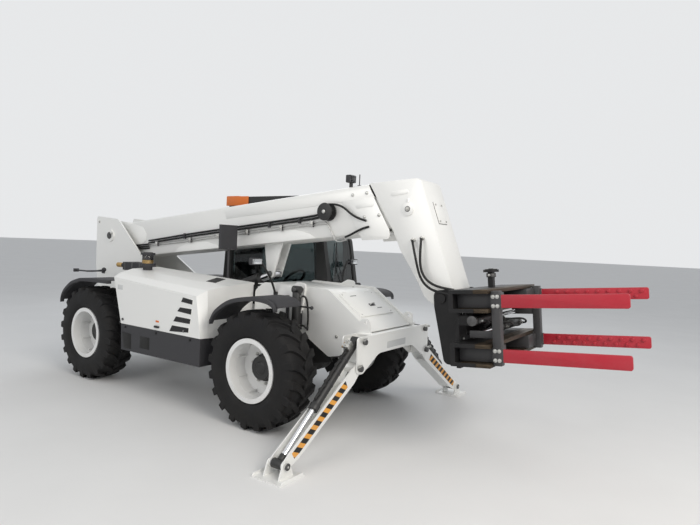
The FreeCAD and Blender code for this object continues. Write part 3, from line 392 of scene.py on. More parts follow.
def relief(tree, height, strength, distance, normal=None):
    node = tree.nodes.new("ShaderNodeBump")
    node.inputs["Strength"].default_value = strength
    node.inputs["Distance"].default_value = distance
    tree.links.new(height, node.inputs["Height"])
    if normal is not None:
        tree.links.new(normal, node.inputs["Normal"])
    return node.outputs["Normal"]


def ground_dust(tree, top):
    """More dust near the ground, broken up."""
    coord = tree.nodes.new("ShaderNodeTexCoord")
    split = tree.nodes.new("ShaderNodeSeparateXYZ")
    tree.links.new(coord.outputs["Object"], split.inputs["Vector"])
    low = spread(tree, split.outputs["Z"], top, 0.0)
    return times(tree, low, spread(tree, noise(tree, 7.0, 7.0, 0.65), 0.35, 0.75))


def painted(name, colour, dust, rough=0.32, edge=0.004, wear=None, wear_amount=0.5, top=0.8,
            dust_amount=0.5, peel=0.05, coat=0.0):
    """Sprayed paint: faint unevenness, dust near the ground, rubbed edges."""
    tree, shader = new_finish(name)
    normal, near_edge = edges_of(tree, edge)
    cloud = spread(tree, noise(tree, 2.3, 6.0, 0.6), 0.3, 0.7)
    shade = [c * 0.93 for c in colour]
    base = mixed(tree, cloud, colour, shade)
    dirt = times(tree, ground_dust(tree, top), dust_amount)
    base = mixed(tree, dirt, base, dust)
    if wear is not None:
        rub = times(tree, near_edge, spread(tree, noise(tree, 38.0, 4.0, 0.7), 0.48, 0.62))
        base = mixed(tree, times(tree, rub, wear_amount), base, wear)
    tree.links.new(base, shader.inputs["Base Color"])
    sheen = spread(tree, noise(tree, 9.0, 5.0, 0.6), 0.25, 0.75, rough - 0.06, rough + 0.10)
    tree.links.new(sheen, shader.inputs["Roughness"])
    shader.inputs["Coat Weight"].default_value = coat
    shader.inputs["Specular IOR Level"].default_value = 0.5 if max(colour) > 0.1 else 0.28
    tree.links.new(relief(tree, noise(tree, 320.0, 2.0), peel, 0.0006, normal),
                   shader.inputs["Normal"])


def moulded(name, colour, dust, rough=0.5, grain=260.0, depth=0.25, edge=0.004, dust_amount=0.3,
            top=1.6):
    """Moulded plastic or rubber with a fine grain, settled dust and a painted highlight along its edges."""
    tree, shader = new_finish(name)
    normal, near_edge = edges_of(tree, edge)
    patch = spread(tree, noise(tree, 5.0, 7.0, 0.65), 0.35, 0.72)
    base = mixed(tree, times(tree, patch, dust_amount), colour, dust)
    # painted highlight: the colour is made lighter along every edge, convex and concave
    base = mixed(tree, times(tree, near_edge, 0.25), base, [min(1.0, c * 2.2 + 0.02) for c in colour])
    base = mixed(tree, times(tree, ground_dust(tree, top), dust_amount), base, dust)
    tree.links.new(base, shader.inputs["Base Color"])
    tree.links.new(spread(tree, patch, 0.0, 1.0, rough - 0.08, rough + 0.15),
                   shader.inputs["Roughness"])
    shader.inputs["Specular IOR Level"].default_value = 0.22
    tree.links.new(relief(tree, noise(tree, grain, 3.0, 0.6), depth, 0.0008, normal),
                   shader.inputs["Normal"])


def bare_metal(name, colour, tarnish, rough=0.3, metallic=1.0, edge=0.002, streak=(1.0, 1.0, 1.0),
               tarnish_amount=0.5, depth=0.06):
    """Plated, ground or rubbed steel."""
    tree, shader = new_finish(name)
    normal, _ = edges_of(tree, edge)
    patch = spread(tree, noise(tree, 14.0, 6.0, 0.65, streak), 0.38, 0.68)
    base = mixed(tree, times(tree, patch, tarnish_amount), colour, tarnish)
    tree.links.new(base, shader.inputs["Base Color"])
    shader.inputs["Metallic"].default_value = metallic
    tree.links.new(spread(tree, patch, 0.0, 1.0, rough, rough + 0.22), shader.inputs["Roughness"])
    tree.links.new(relief(tree, noise(tree, 180.0, 3.0, 0.6, streak), depth, 0.0005, normal),
                   shader.inputs["Normal"])


def clear_sheet(name, colour, rough=0.03):
    """Tinted glass or a clear lens with a little dust on it."""
    tree, shader = new_finish(name)
    film = spread(tree, noise(tree, 3.0, 6.0, 0.7), 0.45, 0.8)
    tree.links.new(mixed(tree, times(tree, film, 0.35), colour, [c * 0.8 + 0.05 for c in colour]),
                   shader.inputs["Base Color"])
    shader.inputs["Transmission Weight"].default_value = 1.0
    shader.inputs["IOR"].default_value = 1.45
    tree.links.new(spread(tree, film, 0.0, 1.0, rough, rough + 0.05), shader.inputs["Roughness"])


def woven(name, colour, light):
    """A plain woven seat cover."""
    tree, shader = new_finish(name)
    waves = []
    for axis in ("X", "Y", "Z"):
        node = tree.nodes.new("ShaderNodeTexWave")
        node.bands_direction = axis
        node.inputs["Scale"].default_value = 90.0
        node.inputs["Distortion"].default_value = 0.4
        tree.links.new(place_on_object(tree), node.inputs["Vector"])
        waves.append(node.outputs["Fac"])
    weave = times(tree, times(tree, waves[0], waves[1]), waves[2], "ADD")
    tree.links.new(mixed(tree, weave, colour, light), shader.inputs["Base Color"])
    shader.inputs["Roughness"].default_value = 0.9
    shader.inputs["Sheen Weight"].default_value = 0.3
    tree.links.new(relief(tree, weave, 0.5, 0.001), shader.inputs["Normal"])


def make_finishes(look):
    dust = tuple(look.dust)
    white = tuple(look.body_white)
    black = tuple(look.trim_black)
    painted("white_paint", white, dust, 0.3, 0.005, (0.52, 0.5, 0.47), 0.25, coat=0.15)
    painted("rim_paint", white, dust, 0.34, 0.004, (0.45, 0.43, 0.4), 0.35, 0.9, 0.35)
    painted("black_paint", black, dust, 0.34, 0.004, (0.07, 0.07, 0.07), 0.5, 0.9, 0.12)
    painted("clamp_paint", (0.01, 0.01, 0.011), (0.05, 0.047, 0.044), 0.42, 0.004, (0.12, 0.11, 0.1), 0.6,
        3.0, 0.35, 0.12)
    painted("clamp_grey", (0.05, 0.05, 0.053), (0.095, 0.09, 0.085), 0.4, 0.004, (0.22, 0.21, 0.19), 0.6, 3.0,
        0.35, 0.1)
    painted("arm_red", tuple(look.arm_red), (0.36, 0.09, 0.1), 0.4, 0.004, (0.3, 0.1, 0.09), 0.5, 3.0, 0.35,
        0.1)
    painted("stripe_amber", tuple(look.stripe_amber), dust, 0.45, 0.002, None, 0.0, 0.9, 0.25)
    painted("stripe_black", (0.008, 0.008, 0.008), dust, 0.45, 0.002, None, 0.0, 0.9, 0.08)
    painted("plate_grey", (0.62, 0.63, 0.63), dust, 0.45, 0.002, None, 0.0)
    painted("marker_orange", (0.72, 0.17, 0.02), dust, 0.35, 0.002, None, 0.0)
    moulded("black_plastic", (0.01, 0.01, 0.011), (0.05, 0.049, 0.046), 0.36, 300.0, 0.14)
    moulded("tyre_rubber", (0.008, 0.008, 0.009), (0.036, 0.034, 0.031), 0.66, 120.0, 0.45, 0.006, 0.32)
    moulded("hose_rubber", (0.013, 0.013, 0.014), (0.07, 0.07, 0.066), 0.5, 420.0, 0.3, 0.001)
    moulded("floor_rubber", (0.03, 0.03, 0.031), (0.11, 0.1, 0.09), 0.75, 160.0, 0.4)
    bare_metal("chrome", (0.8, 0.81, 0.82), (0.62, 0.62, 0.62), 0.07, tarnish_amount=0.25, depth=0.02)
    bare_metal("zinc", (0.6, 0.6, 0.58), (0.34, 0.33, 0.3), 0.3)
    bare_metal("steel_line", (0.55, 0.55, 0.54), (0.3, 0.29, 0.27), 0.32)
    bare_metal("dark_steel", (0.13, 0.13, 0.13), (0.05, 0.05, 0.05), 0.42, 0.85)
    bare_metal("rubbed_steel", (0.085, 0.062, 0.04), (0.02, 0.018, 0.016), 0.42, 0.75,
        streak=(1.0, 0.15, 6.0), tarnish_amount=0.8)
    bare_metal("brass", (0.55, 0.36, 0.13), (0.2, 0.13, 0.06), 0.28)
    bare_metal("mirror_silver", (0.86, 0.87, 0.88), (0.7, 0.71, 0.72), 0.03, tarnish_amount=0.2, depth=0.0)
    clear_sheet("window_glass", tuple(look.glass_tint))
    clear_sheet("lamp_glass", (0.92, 0.93, 0.93), 0.05)
    clear_sheet("orange_glass", (0.9, 0.22, 0.02), 0.08)
    clear_sheet("red_glass", (0.62, 0.015, 0.015), 0.08)
    woven("seat_cloth", (0.02, 0.02, 0.022), (0.055, 0.055, 0.06))


# which finish each CAD node wears
CAD_FINISH = {
    "white_paint": [
        "chassis_frame", "front_frame", "front_hatch", "stabiliser_beam", "engine_hood", "boom_outer",
        "boom_inner", "stabiliser_leg_left", "stabiliser_leg_right", "stabiliser_pad_left",
        "stabiliser_pad_right",
    ],
    "rim_paint": ["rim_front_left", "rim_front_right", "rim_rear_left", "rim_rear_right"],
    "black_paint": [
        "front_axle", "rear_axle", "counterweight", "engine_block", "cab_frame", "cab_roof",
        "cab_door", "knuckle_front_left", "knuckle_front_right", "knuckle_rear_left",
        "knuckle_rear_right", "stabiliser_barrel_left", "stabiliser_barrel_right", "lift_barrel",
        "steering_column", "work_lamps",
    ],
    "black_plastic": ["side_panel", "fenders", "exhaust_box", "air_cleaner", "mirror", "seat"],
    "clamp_paint": ["carriage", "clamp_frame", "hose_post"],
    "clamp_grey": ["clamp_arms_left", "clamp_arms_right"],
    "tyre_rubber": ["tyre_front_left", "tyre_front_right", "tyre_rear_left", "tyre_rear_right"],
    "chrome": ["lift_rod", "stabiliser_rod_left", "stabiliser_rod_right"],
    "hose_rubber": ["boom_lines"],
    "window_glass": ["cab_glass", "door_glass"],
    "orange_glass": ["roof_beacon"],
}


def paint_cad_nodes():
    for finish, nodes in CAD_FINISH.items():
        for node in nodes:
            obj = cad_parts[node]
            if not obj.material_slots:
                obj.data.materials.append(bpy.data.materials[finish])
            for slot in obj.material_slots:
                slot.material = bpy.data.materials[finish]


# wheels
def crown(y):
    """The carcass's radius at a place across it."""
    y = abs(y)
    if y < 0.12:
        return 0.597 - 0.35 * y * y
    if y < 0.178:
        return 0.592 - 0.3 * (y - 0.12)
    return 0.5746 - 2.4 * (y - 0.178)


def tread_bar(look, side):
    """One lug: a subdivided block wrapped round the carcass from its middle to its shoulder."""
    bpy.ops.mesh.primitive_cube_add(size=1.0)
    obj = bpy.context.object
    edit(obj)
    bpy.ops.mesh.subdivide(number_cuts=6)
    done()
    across, reach = (look.lug_width, TYRE_HALF - 0.004)
    for vert in obj.data.vertices:
        s, w, h = (vert.co.x + 0.5, vert.co.y, vert.co.z + 0.5)
        if s < 0.74:
            y = -0.02 + (reach + 0.014) * (s / 0.74)
            sink = 0.0
        else:
            y = reach - 0.006 + 0.006 * (s - 0.74) / 0.26
            sink = 0.078 * (s - 0.74) / 0.26
        ease = 1.0 - (1.0 - min(s / 0.74, 1.0)) ** 1.7
        base = min(crown(y), 0.56) if sink else crown(y)
        top = TYRE_R - 0.0004 - 0.3 * max(0.0, y - 0.13) ** 1.0 - sink
        radius = base - 0.012 - sink * 0.9 + (top - base + 0.012 + sink * -0.1) * h
        draft = 1.0 - 0.26 * h
        spread_out = 0.8 + 0.35 * min(s, 1.0)
        turn = (look.lug_sweep * ease + w * across * draft * spread_out) / TYRE_R
        y_out = y if not sink else y - 0.012 * (1.0 - h)
        vert.co = (radius * math.cos(turn), side * y_out, radius * math.sin(turn))
    return outward(obj)


def make_tyre(look, name, end, side):
    half = [(0.0, 0.597), (0.06, 0.5957), (0.12, 0.592), (0.158, 0.581), (0.176, 0.568), (0.186, 0.545),
        (0.1925, 0.515), (0.1965, 0.48), (0.1985, 0.448), (0.1978, 0.42), (0.1945, 0.396), (0.193, 0.39),
        (0.1905, 0.386), (0.1895, 0.378), (0.184, 0.362), (0.176, 0.35), (0.169, 0.346), (0.1637, 0.344),
        (0.1637, 0.3052)]
    profile = half + [(-y, r) for y, r in reversed(half[1:])]
    shapes = [turned(profile, 96)]
    pitch = 2 * math.pi / look.lug_count
    for lean, start in ((1, 0.0), (-1, pitch / 2)):
        shapes.append(ring_of(tread_bar(look, lean), look.lug_count, "Y", start))
    for shape in shapes:
        dress(shape, "tyre_rubber")
    tag = "left" if side > 0 else "right"
    obj = finish_piece(name, shapes, "wheel_%s_%s" % (end, tag), wheel(end, side))
    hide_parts("tyre_%s_%s" % (end, tag))
    return obj


def make_hub(end, side):
    """The black hub in the disc, its nuts, the barrel's ribs and the valve."""
    shapes = []
    put(shapes, "black_paint", (turned, [(-0.0745, 0.0), (-0.0745, 0.15), (-0.066, 0.15), (-0.063, 0.1285),
        (0.002, 0.1275), (0.006, 0.121), (0.004, 0.113), (0.004, 0.068), (0.01, 0.062), (0.014, 0.05),
        (0.016, 0.0)], 56))
    nut = bar((0.172, -0.082, 0.0), (0.172, -0.052, 0.0), 0.0165, 6, 0.002)
    stud = bar((0.172, -0.056, 0.0), (0.172, -0.04, 0.0), 0.009, 12)
    shapes.append(ring_of(dress(join([nut, stud]), "zinc"), 10, "Y", 0.2))
    rib = block((0.262, 0.2885), (-0.07, 0.06), (-0.004, 0.004), 0.002)
    shapes.append(ring_of(dress(rib, "rim_paint"), 8, "Y", 0.35))
    put(shapes, "rim_paint", (turned, [(0.078, 0.2885), (0.08, 0.2835), (0.084, 0.2835), (0.086, 0.2885)],
        72))
    put(shapes, "brass", (bar, (0.265, 0.02, 0.03), (0.232, 0.055, 0.03), 0.006, 12))
    tag = "left" if side > 0 else "right"
    finish_piece("wheel_hub_%s_%s" % (end, tag), shapes, "wheel_%s_%s" % (end, tag),
        wheel(end, side))


# boom and its moving section
BOOM_SIDE = 0.225
HEAD_SIDE = 0.220


def carve(obj, cutter):
    """Takes the cutter's volume out of a piece."""
    pick(obj)
    hole = obj.modifiers.new("carve", "BOOLEAN")
    hole.operation = "DIFFERENCE"
    hole.object = cutter
    bpy.ops.object.modifier_apply(modifier=hole.name)
    bpy.data.objects.remove(cutter)
    return obj


def slot_plate(start, end, width, near, far):
    """A pressed slot with round ends, as a low plate."""
    run = Vector((end[0] - start[0], end[1] - start[1]))
    lean = math.atan2(run.y, run.x)
    outline = []
    for centre, first in ((end, -90.0), (start, 90.0)):
        for k in range(9):
            t = lean + math.radians(first + 22.5 * k)
            outline.append((centre[0] + width / 2 * math.cos(t), centre[1] + width / 2 * math.sin(t)))
    return plate(outline, near, far, "xz", 0.0015)


def hex_bolt(x, y, z, side, radius=0.013, height=0.009):
    """A bolt's head and washer on a face that looks along Y."""
    washer = bar((x, y, z), (x, y + side * 0.003, z), radius * 1.45, 20)
    head = bar((x, y + side * 0.002, z), (x, y + side * height, z), radius, 6, 0.0015)
    return dress(join([washer, head]), "zinc")


def make_boom_outer():
    """The folded box with its oblique front, hollow for the moving section."""
    top, bottom, rear, front = (-0.008, -0.546, -0.085, 5.13)
    end_top = front - 0.4963 * (top - bottom)
    body = plate([(rear, top), (rear, -0.23), (0.0, -0.375), (0.2, -0.52), (0.33, bottom),
        (front + 0.3, bottom), (front + 0.3, top)], -BOOM_SIDE, BOOM_SIDE, "xz", 0.034)
    body = carve(body, block((0.35, 6.0), (-0.213, 0.213), (-0.536, -0.018)))
    body = carve(body, plate([(front, bottom - 0.1), (front - 0.0496, bottom), (end_top, top),
        (end_top - 0.05, top + 0.1), (6.0, 0.5), (6.0, -1.0)], -0.5, 0.5, "xz"))
    shapes = [body]
    doublers = [(0.005, [(-0.075, -0.06), (0.655, -0.053), (0.84, -0.11), (0.915, -0.22), (0.9, -0.31),
        (0.62, -0.47), (0.5, -0.515), (0.31, -0.53), (0.16, -0.44), (-0.075, -0.24)]),
        (0.0045, [(2.62, -0.052), (4.88, -0.052), (4.941, -0.166), (2.65, -0.166)]),
        (0.006, [(4.515, -0.158), (4.922, -0.15), (5.1, -0.525), (5.104, -0.59), (5.08, -0.622),
        (4.756, -0.61), (4.728, -0.55), (4.705, -0.504)])]
    for thick, corners in doublers:
        for side in (1, -1):
            near, far = across(side, BOOM_SIDE - 0.002, BOOM_SIDE + thick)
            shapes.append(plate(corners, near, far, "xz", 0.001))
    for arch in (((1.561, -0.534), (1.68, -0.465), (1.86, -0.43), (2.05, -0.42), (2.25, -0.435),
            (2.43, -0.49), (2.5, -0.536)), ((2.98, -0.536), (3.08, -0.46), (3.28, -0.385), (3.52, -0.372),
            (3.78, -0.4), (4.0, -0.47), (4.12, -0.536))):
        for side in (1, -1):
            near, far = across(side, BOOM_SIDE - 0.002, BOOM_SIDE + 0.006)
            shapes.append(plate(list(reversed(arch)), near, far, "xz", 0.001))
    for side in (1, -1):
        near, far = across(side, 0.2, 0.224)
        shapes.append(plate([(-0.085, -0.2), (-0.085, 0.03), (-0.05, 0.075), (0.0, 0.085), (0.11, 0.07),
            (0.62, -0.03), (0.62, -0.2)], near, far, "xz", 0.002))
    for shape in shapes:
        dress(shape, "white_paint")
    for side in (1, -1):
        face = side * (BOOM_SIDE + 0.0045)
        for u, w in ((4.66, -0.105), (4.845, -0.105), (4.8, -0.36), (4.985, -0.36)):
            shapes.append(hex_bolt(u, face, w, side, 0.014, 0.011))
        near, far = sorted((face - side * 0.001, face + side * 0.0035))
        put(shapes, "white_paint", (slot_plate, (4.72, -0.235), (4.9, -0.235), 0.052, near, far))
    for w in (-0.03, -0.524):
        for k in range(4):
            u = 4.7 + 0.07 * k if w > -0.1 else 4.9 + 0.06 * k
            put(shapes, "zinc", (bar, (u, -0.12, w + 0.02), (u, -0.12, w + (0.029 if w > -0.1 else -0.03)),
                0.011, 6))
    for side in (1, -1):
        put(shapes, "black_plastic", (block, (4.7, 4.86), across(side, 0.191, 0.213), (-0.4, -0.12), 0.002))
    obj = finish_piece("boom_outer_plates", shapes, "boom_outer", boom())
    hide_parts("boom_outer")
    collar = [bar((-0.8, side * 0.218, 1.95), (-0.8, side * 0.287, 1.95), 0.082, 48, 0.004) for side in (1,
        -1)]
    for side in (1, -1):
        near, far = across(side, 0.062, 0.087)
        collar.append(plate([(2.3, 1.53), (2.345, 1.495), (2.395, 1.52), (2.54, 1.955), (2.24, 1.925)], near,
            far, "xz", 0.003))
    for shape in collar:
        dress(shape, "white_paint")
    put(collar, "dark_steel", (bar, (2.35, -0.1, 1.56), (2.35, 0.1, 1.56), 0.036, 40, 0.003))
    finish_piece("boom_pivot_collars", collar, "boom_outer")


def make_boom_inner():
    """The moving section, the bent head with its boss, slots and ports."""
    lean = 0.6339
    body = plate([(0.95, -0.145), (0.95, -0.511), (5.19, -0.511), (5.19, -0.145)], -0.19, 0.19, "xz", 0.03)
    pick(body)
    body.matrix_world = boom()
    settle(body)
    body = carve(body, plate([(1.195, 2.9), (1.195 + lean * 1.9, 1.0), (4.0, 1.0), (4.0, 2.9)], -0.5, 0.5,
        "xz"))
    outline = [(3.868, 2.64), (4.43, 2.6775), (4.465, 2.669), (4.497, 2.64), (4.89, 1.585), (4.893, 1.548),
        (4.878, 1.512), (4.79, 1.412), (4.755, 1.394), (4.701, 1.404), (4.635, 1.44), (4.585, 1.482),
        (4.511, 1.61), (4.336, 1.866), (4.285, 1.936), (4.19, 2.132)]
    head = plate(outline, -HEAD_SIDE, HEAD_SIDE, "xz", 0.007)
    pick(head)
    head.matrix_world = machine()
    settle(head)
    shapes = [body, head]
    for shape in shapes:
        dress(shape, "white_paint")
    fittings = []
    for side in (1, -1):
        face = side * HEAD_SIDE
        near, far = sorted((face - side * 0.002, face + side * 0.004))
        put(fittings, "white_paint", (slot_plate, (4.165, 2.52), (4.325, 2.541), 0.05, near, far),
            (bar, (4.356, face - side * 0.004, 2.361), (4.356, face + side * 0.014, 2.361), 0.07, 48, 0.003))
        put(fittings, "dark_steel", (bar, (4.356, face, 2.361), (4.356, face + side * 0.018, 2.361), 0.03, 32,
            0.002))
        fittings.append(hex_bolt(4.356, face + side * 0.018, 2.361, side, 0.016, 0.014))
        put(fittings, "white_paint", (bar, (4.356, face + side * 0.006, 2.425),
            (4.356, face + side * 0.006, 2.47), 0.013, 16, 0.002),
            (bar, (4.8, face - side * 0.002, 1.48), (4.8, face + side * 0.01, 1.48), 0.078, 48, 0.003))
    for x, z in ((4.436, 2.044), (4.537, 2.068)):
        put(fittings, "zinc", (bar, (x, -0.218, z), (x, -0.236, z), 0.024, 24, 0.002),
            (bar, (x, -0.232, z), (x, -0.262, z), 0.017, 6, 0.002))
    for half_x, half_y, low, high, finish in ((0.119, 0.099, -0.001, 0.003, "floor_rubber"),
            (0.115, 0.095, 0.0, 0.01, "white_paint")):
        cover = block((-half_x, half_x), (-half_y, half_y), (low, high), 0.0015)
        pick(cover)
        cover.matrix_world = Matrix.Translation((4.612, 0.0, 2.33)) @ Matrix.Rotation(math.radians(69.5), 4,
            "Y")
        settle(cover)
        fittings.append(dress(cover, finish))
    for along in (-0.09, 0.09):
        for across in (-0.07, 0.07):
            head_bolt = bar((along, across, 0.008), (along, across, 0.018), 0.011, 6, 0.001)
            pick(head_bolt)
            head_bolt.matrix_world = Matrix.Translation((4.612, 0.0,
                2.33)) @ Matrix.Rotation(math.radians(69.5), 4, "Y")
            fittings.append(dress(settle(head_bolt), "zinc"))
    joined = join(fittings)
    pick(joined)
    joined.matrix_world = machine()
    settle(joined)
    shapes.append(joined)
    obj = finish_piece("boom_head_and_section", shapes, "boom_inner", Matrix.Identity(4))
    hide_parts("boom_inner")


def make_boom_lines():
    """Steel lines, the hose run and its drum, clamps, the lamp and the aerial on the boom."""
    shapes = []
    run = [(0.064, 1.85), (1.006, 1.952), (2.08, 2.085), (3.169, 2.207)]
    bend = [(3.298, 2.225), (3.35, 2.2), (3.435, 2.047), (3.5, 2.02), (3.6, 2.051)]
    for low in (0.0, 0.03):
        points = [(x, -0.247, z - low) for x, z in run]
        points += [(x + low * 0.6, -0.247, z - low) for x, z in bend]
        put(shapes, "steel_line", (hose, points, 0.0065, 3, 3))
    for x, z in ((0.253, 1.874), (0.985, 1.951), (1.55, 2.02), (2.08, 2.085), (2.65, 2.149), (3.12, 2.202)):
        put(shapes, "black_plastic", (block, about(x, 0.022), (-0.262, -0.229), (z - 0.046, z + 0.016),
            0.003))
        put(shapes, "zinc", (block, about(x, 0.024), (-0.265, -0.261), (z - 0.048, z + 0.018), 0.001))
        shapes.append(hex_bolt(x, -0.264, z - 0.015, -1, 0.008, 0.008))
    for drop in (0.0, 0.034):
        points = [(x, -0.243, z - drop) for x, z in ((0.05, 1.9), (0.3, 1.931), (0.857, 2.011),
            (1.772, 2.118), (2.93, 2.257), (3.18, 2.285), (3.3, 2.315))]
        put(shapes, "hose_rubber", (hose, points, 0.0125, 3, 4))
    for x, z in ((0.86, 2.0), (1.77, 2.105), (2.45, 2.183), (2.93, 2.24)):
        put(shapes, "black_plastic", (block, about(x, 0.012), (-0.259, -0.224), (z - 0.048, z + 0.028),
            0.003))
    x, z = 3.354, 2.326
    put(shapes, "black_plastic", (bar, (x, -0.225, z), (x, -0.33, z), 0.07, 48, 0.004))
    for near, far in ((-0.23, -0.242), (-0.318, -0.331)):
        put(shapes, "black_paint", (bar, (x, near, z), (x, far, z), 0.1, 56, 0.004))
    for k in range(5):
        y = -0.25 - 0.014 * k
        put(shapes, "hose_rubber", (bar, (x, y, z), (x, y - 0.01, z), 0.082, 40, 0.004))
    put(shapes, "zinc", (bar, (x, -0.331, z), (x, -0.345, z), 0.022, 24, 0.003))
    for points in ([(3.354, -0.285, 2.408), (3.5, -0.285, 2.42), (3.62, -0.265, 2.36), (3.7, -0.25, 2.27),
            (3.86, -0.24, 2.235)], [(3.6, -0.247, 2.051), (3.7, -0.25, 2.08), (3.78, -0.245, 2.15),
            (3.9, -0.24, 2.17)]):
        put(shapes, "hose_rubber", (hose, points, 0.012, 3, 4))
    lamp_y = -0.115
    put(shapes, "black_paint", (block, (3.545, 3.57), about(lamp_y, 0.02), (2.585, 2.68), 0.002))
    put(shapes, "black_plastic", (block, (3.515, 3.585), about(lamp_y, 0.055), (2.665, 2.752), 0.01))
    put(shapes, "lamp_glass", (block, (3.583, 3.592), about(lamp_y, 0.047), (2.672, 2.745), 0.003))
    put(shapes, "mirror_silver", (block, (3.58, 3.5835), about(lamp_y, 0.043), (2.676, 2.741)))
    put(shapes, "black_plastic", (bar, (3.66, -0.1, 2.6), (3.66, -0.1, 2.635), 0.022, 20, 0.003),
        (bar, (3.66, -0.1, 2.62), (3.66, -0.1, 2.757), 0.006, 10))
    obj = finish_piece("boom_line_run", shapes, "boom_outer")
    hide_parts("boom_lines")


def make_head_hoses():
    """Hoses from the head's ports over the tilt joint to the clamp's carriage."""
    for name, points in (("clamp_hose_a", [(4.436, -0.25, 2.044), (4.462, -0.285, 2.015),
            (4.515, -0.29, 1.824), (4.557, -0.285, 1.675), (4.641, -0.275, 1.57), (4.76, -0.27, 1.535),
            (4.9, -0.275, 1.53)]), ("clamp_hose_b",
            [(4.537, -0.25, 2.068), (4.56, -0.29, 2.03), (4.55, -0.3, 1.824), (4.6, -0.3, 1.69),
            (4.69, -0.29, 1.61), (4.8, -0.28, 1.585), (4.93, -0.275, 1.575)])):
        obj = hose([(x + REAR_AXLE_X, y, z) for x, y, z in points], 0.0125, 4, 4)
        dress(obj, "hose_rubber")
        smooth(obj)
        obj.name = name
        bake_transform(obj)


# clamp
def make_arms(side):
    """One side's slider, upright and two studded arms: grey at the root, red beyond."""
    grey, red = ([], [])
    y_in, y_out = 0.61, 0.64
    for low in (0.135, -0.335):
        grey.append(block((-0.017, 0.322), (0.345, 0.605), (low + 0.0375, low + 0.163), 0.004))
    grey.append(block((0.306, 0.38), (0.565, 0.641), (-0.32, 0.32), 0.004))
    for mid in (0.232, -0.232):
        grey.append(block((0.3, 0.395), (0.6075, 0.6425), about(mid, 0.06), 0.003))
        outline = [(0.385, mid - 0.056)]
        for turn, b in ((-90, mid - 0.038), (0, mid + 0.038)):
            for k in range(5):
                t = math.radians(turn + 22.5 * k)
                outline.append((1.357 + 0.018 * math.cos(t), b + 0.018 * math.sin(t)))
        outline.append((0.385, mid + 0.056))
        red.append(plate(outline, y_in, y_out, "xz", 0.003))
        for k in range(18):
            a, b = (0.5 + 0.048 * k, mid + (0.024 if k % 2 else -0.024))
            red.append(bar((a, y_in + 0.002, b), (a, y_in - 0.014, b), 0.0165, 20, 0.003))
        for a in (0.325, 0.362):
            for b in (-0.04, 0.04):
                bolt = hex_bolt(a, 0.6425, mid + b, 1, 0.012, 0.01)
                grey.append(bolt)
    lug = block((0.085, 0.31), (0.573, 0.6), (0.028 * side, 0.092 * side), 0.004)
    grey.append(lug)
    rod = bar((0.125, 0.575, 0.06 * side), (0.125, -0.1, 0.06 * side), 0.02, 28)
    for shape in grey:
        if not shape.data.materials:
            dress(shape, "clamp_grey")
    for shape in red:
        dress(shape, "arm_red")
    grey.append(dress(rod, "chrome"))
    tag = "left" if side > 0 else "right"
    place = clamp() @ Matrix.Diagonal((1.0, side, 1.0, 1.0))
    obj = finish_piece("studded_arms_%s" % tag, grey + red, "clamp_arms_%s" % tag, place)
    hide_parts("clamp_arms_%s" % tag)


def make_clamp_frame():
    """The C rails' outer flanges with rubbed faces, slide cylinders, plates and hoses."""
    shapes = []
    for low in (0.135, -0.335):
        for start in (low, low + 0.166):
            put(shapes, "rubbed_steel", (block, (0.165, 0.3), (-0.7, 0.7), (start, start + 0.034), 0.003))
            inner = start + 0.034 if start == low else start - 0.0006
            put(shapes, "rubbed_steel", (block, (0.02, 0.298), (-0.695, 0.695), (inner, inner + 0.0006)))
    for side in (1, -1):
        b = 0.06 * side
        put(shapes, "clamp_paint", (bar, (0.125, side * -0.62, b), (0.125, side * -0.04, b), 0.04, 40, 0.003))
        put(shapes, "dark_steel", (bar, (0.125, side * -0.075, b), (0.125, side * -0.03, b), 0.046, 40,
            0.003), (bar, (0.125, side * -0.64, b), (0.125, side * -0.6, b), 0.046, 40, 0.003))
        for y in (-0.56, -0.12):
            put(shapes, "dark_steel", (block, (0.15, 0.18), across(side, y - 0.02, y + 0.02),
                sorted(about(b, 0.02)), 0.003))
            put(shapes, "zinc", (bar, (0.178, side * y, b), (0.205, side * y, b), 0.013, 6, 0.001))
        put(shapes, "clamp_paint", (block, (-0.02, 0.1), across(side, -0.6, -0.575), about(b, 0.045), 0.002),
            (block, (-0.02, 0.1), across(side, -0.11, -0.085), about(b, 0.045), 0.002))
        for y in (-0.56, -0.12):
            pts = [(0.203, side * y, b), (0.245, side * y, b), (0.25, side * y * 0.95, b * 0.3),
                (0.15, side * y * 0.9, 0.0), (0.02, side * 0.3, 0.0), (-0.07, side * 0.28, 0.0)]
            put(shapes, "hose_rubber", (hose, pts, 0.01, 3, 4))
    for y in (-0.48, -0.24, 0.0, 0.24, 0.48):
        for b in (0.118, -0.118):
            if abs(y) > 0.02:
                put(shapes, "zinc", (bar, (-0.032, y, b), (-0.018, y, b), 0.013, 6, 0.0015))
    obj = finish_piece("clamp_rails_and_cylinders", shapes, "clamp_frame", clamp())
    bolts = ring_of(bar((-0.108, 0.0, 0.268), (-0.084, 0.0, 0.268), 0.012, 6, 0.0015), 24, "X")
    dress(bolts, "zinc")
    finish_piece("turning_ring_bolts", [bolts], "carriage", clamp())
    cap = [dress(bar((0.085, 0.0, CAP_B - 0.004), (0.085, 0.0, CAP_B + 0.006), 0.06, 48, 0.003),
        "clamp_paint"), dress(bar((0.085, 0.0, CAP_B + 0.004), (0.085, 0.0, CAP_B + 0.012), 0.024, 32, 0.002),
        "dark_steel"), dress(bar((0.085, 0.0, CAP_B - 0.075), (0.085, 0.0, CAP_B - 0.035), 0.046, 40, 0.003),
        "dark_steel")]
    for y in (-0.033, 0.033):
        put(cap, "zinc", (bar, (0.085, y, CAP_B - 0.055), (0.085, y * 1.9, CAP_B - 0.055), 0.012, 6, 0.001))
    finish_piece("swivel_cap", cap, "clamp_frame", clamp())


# stabilisers


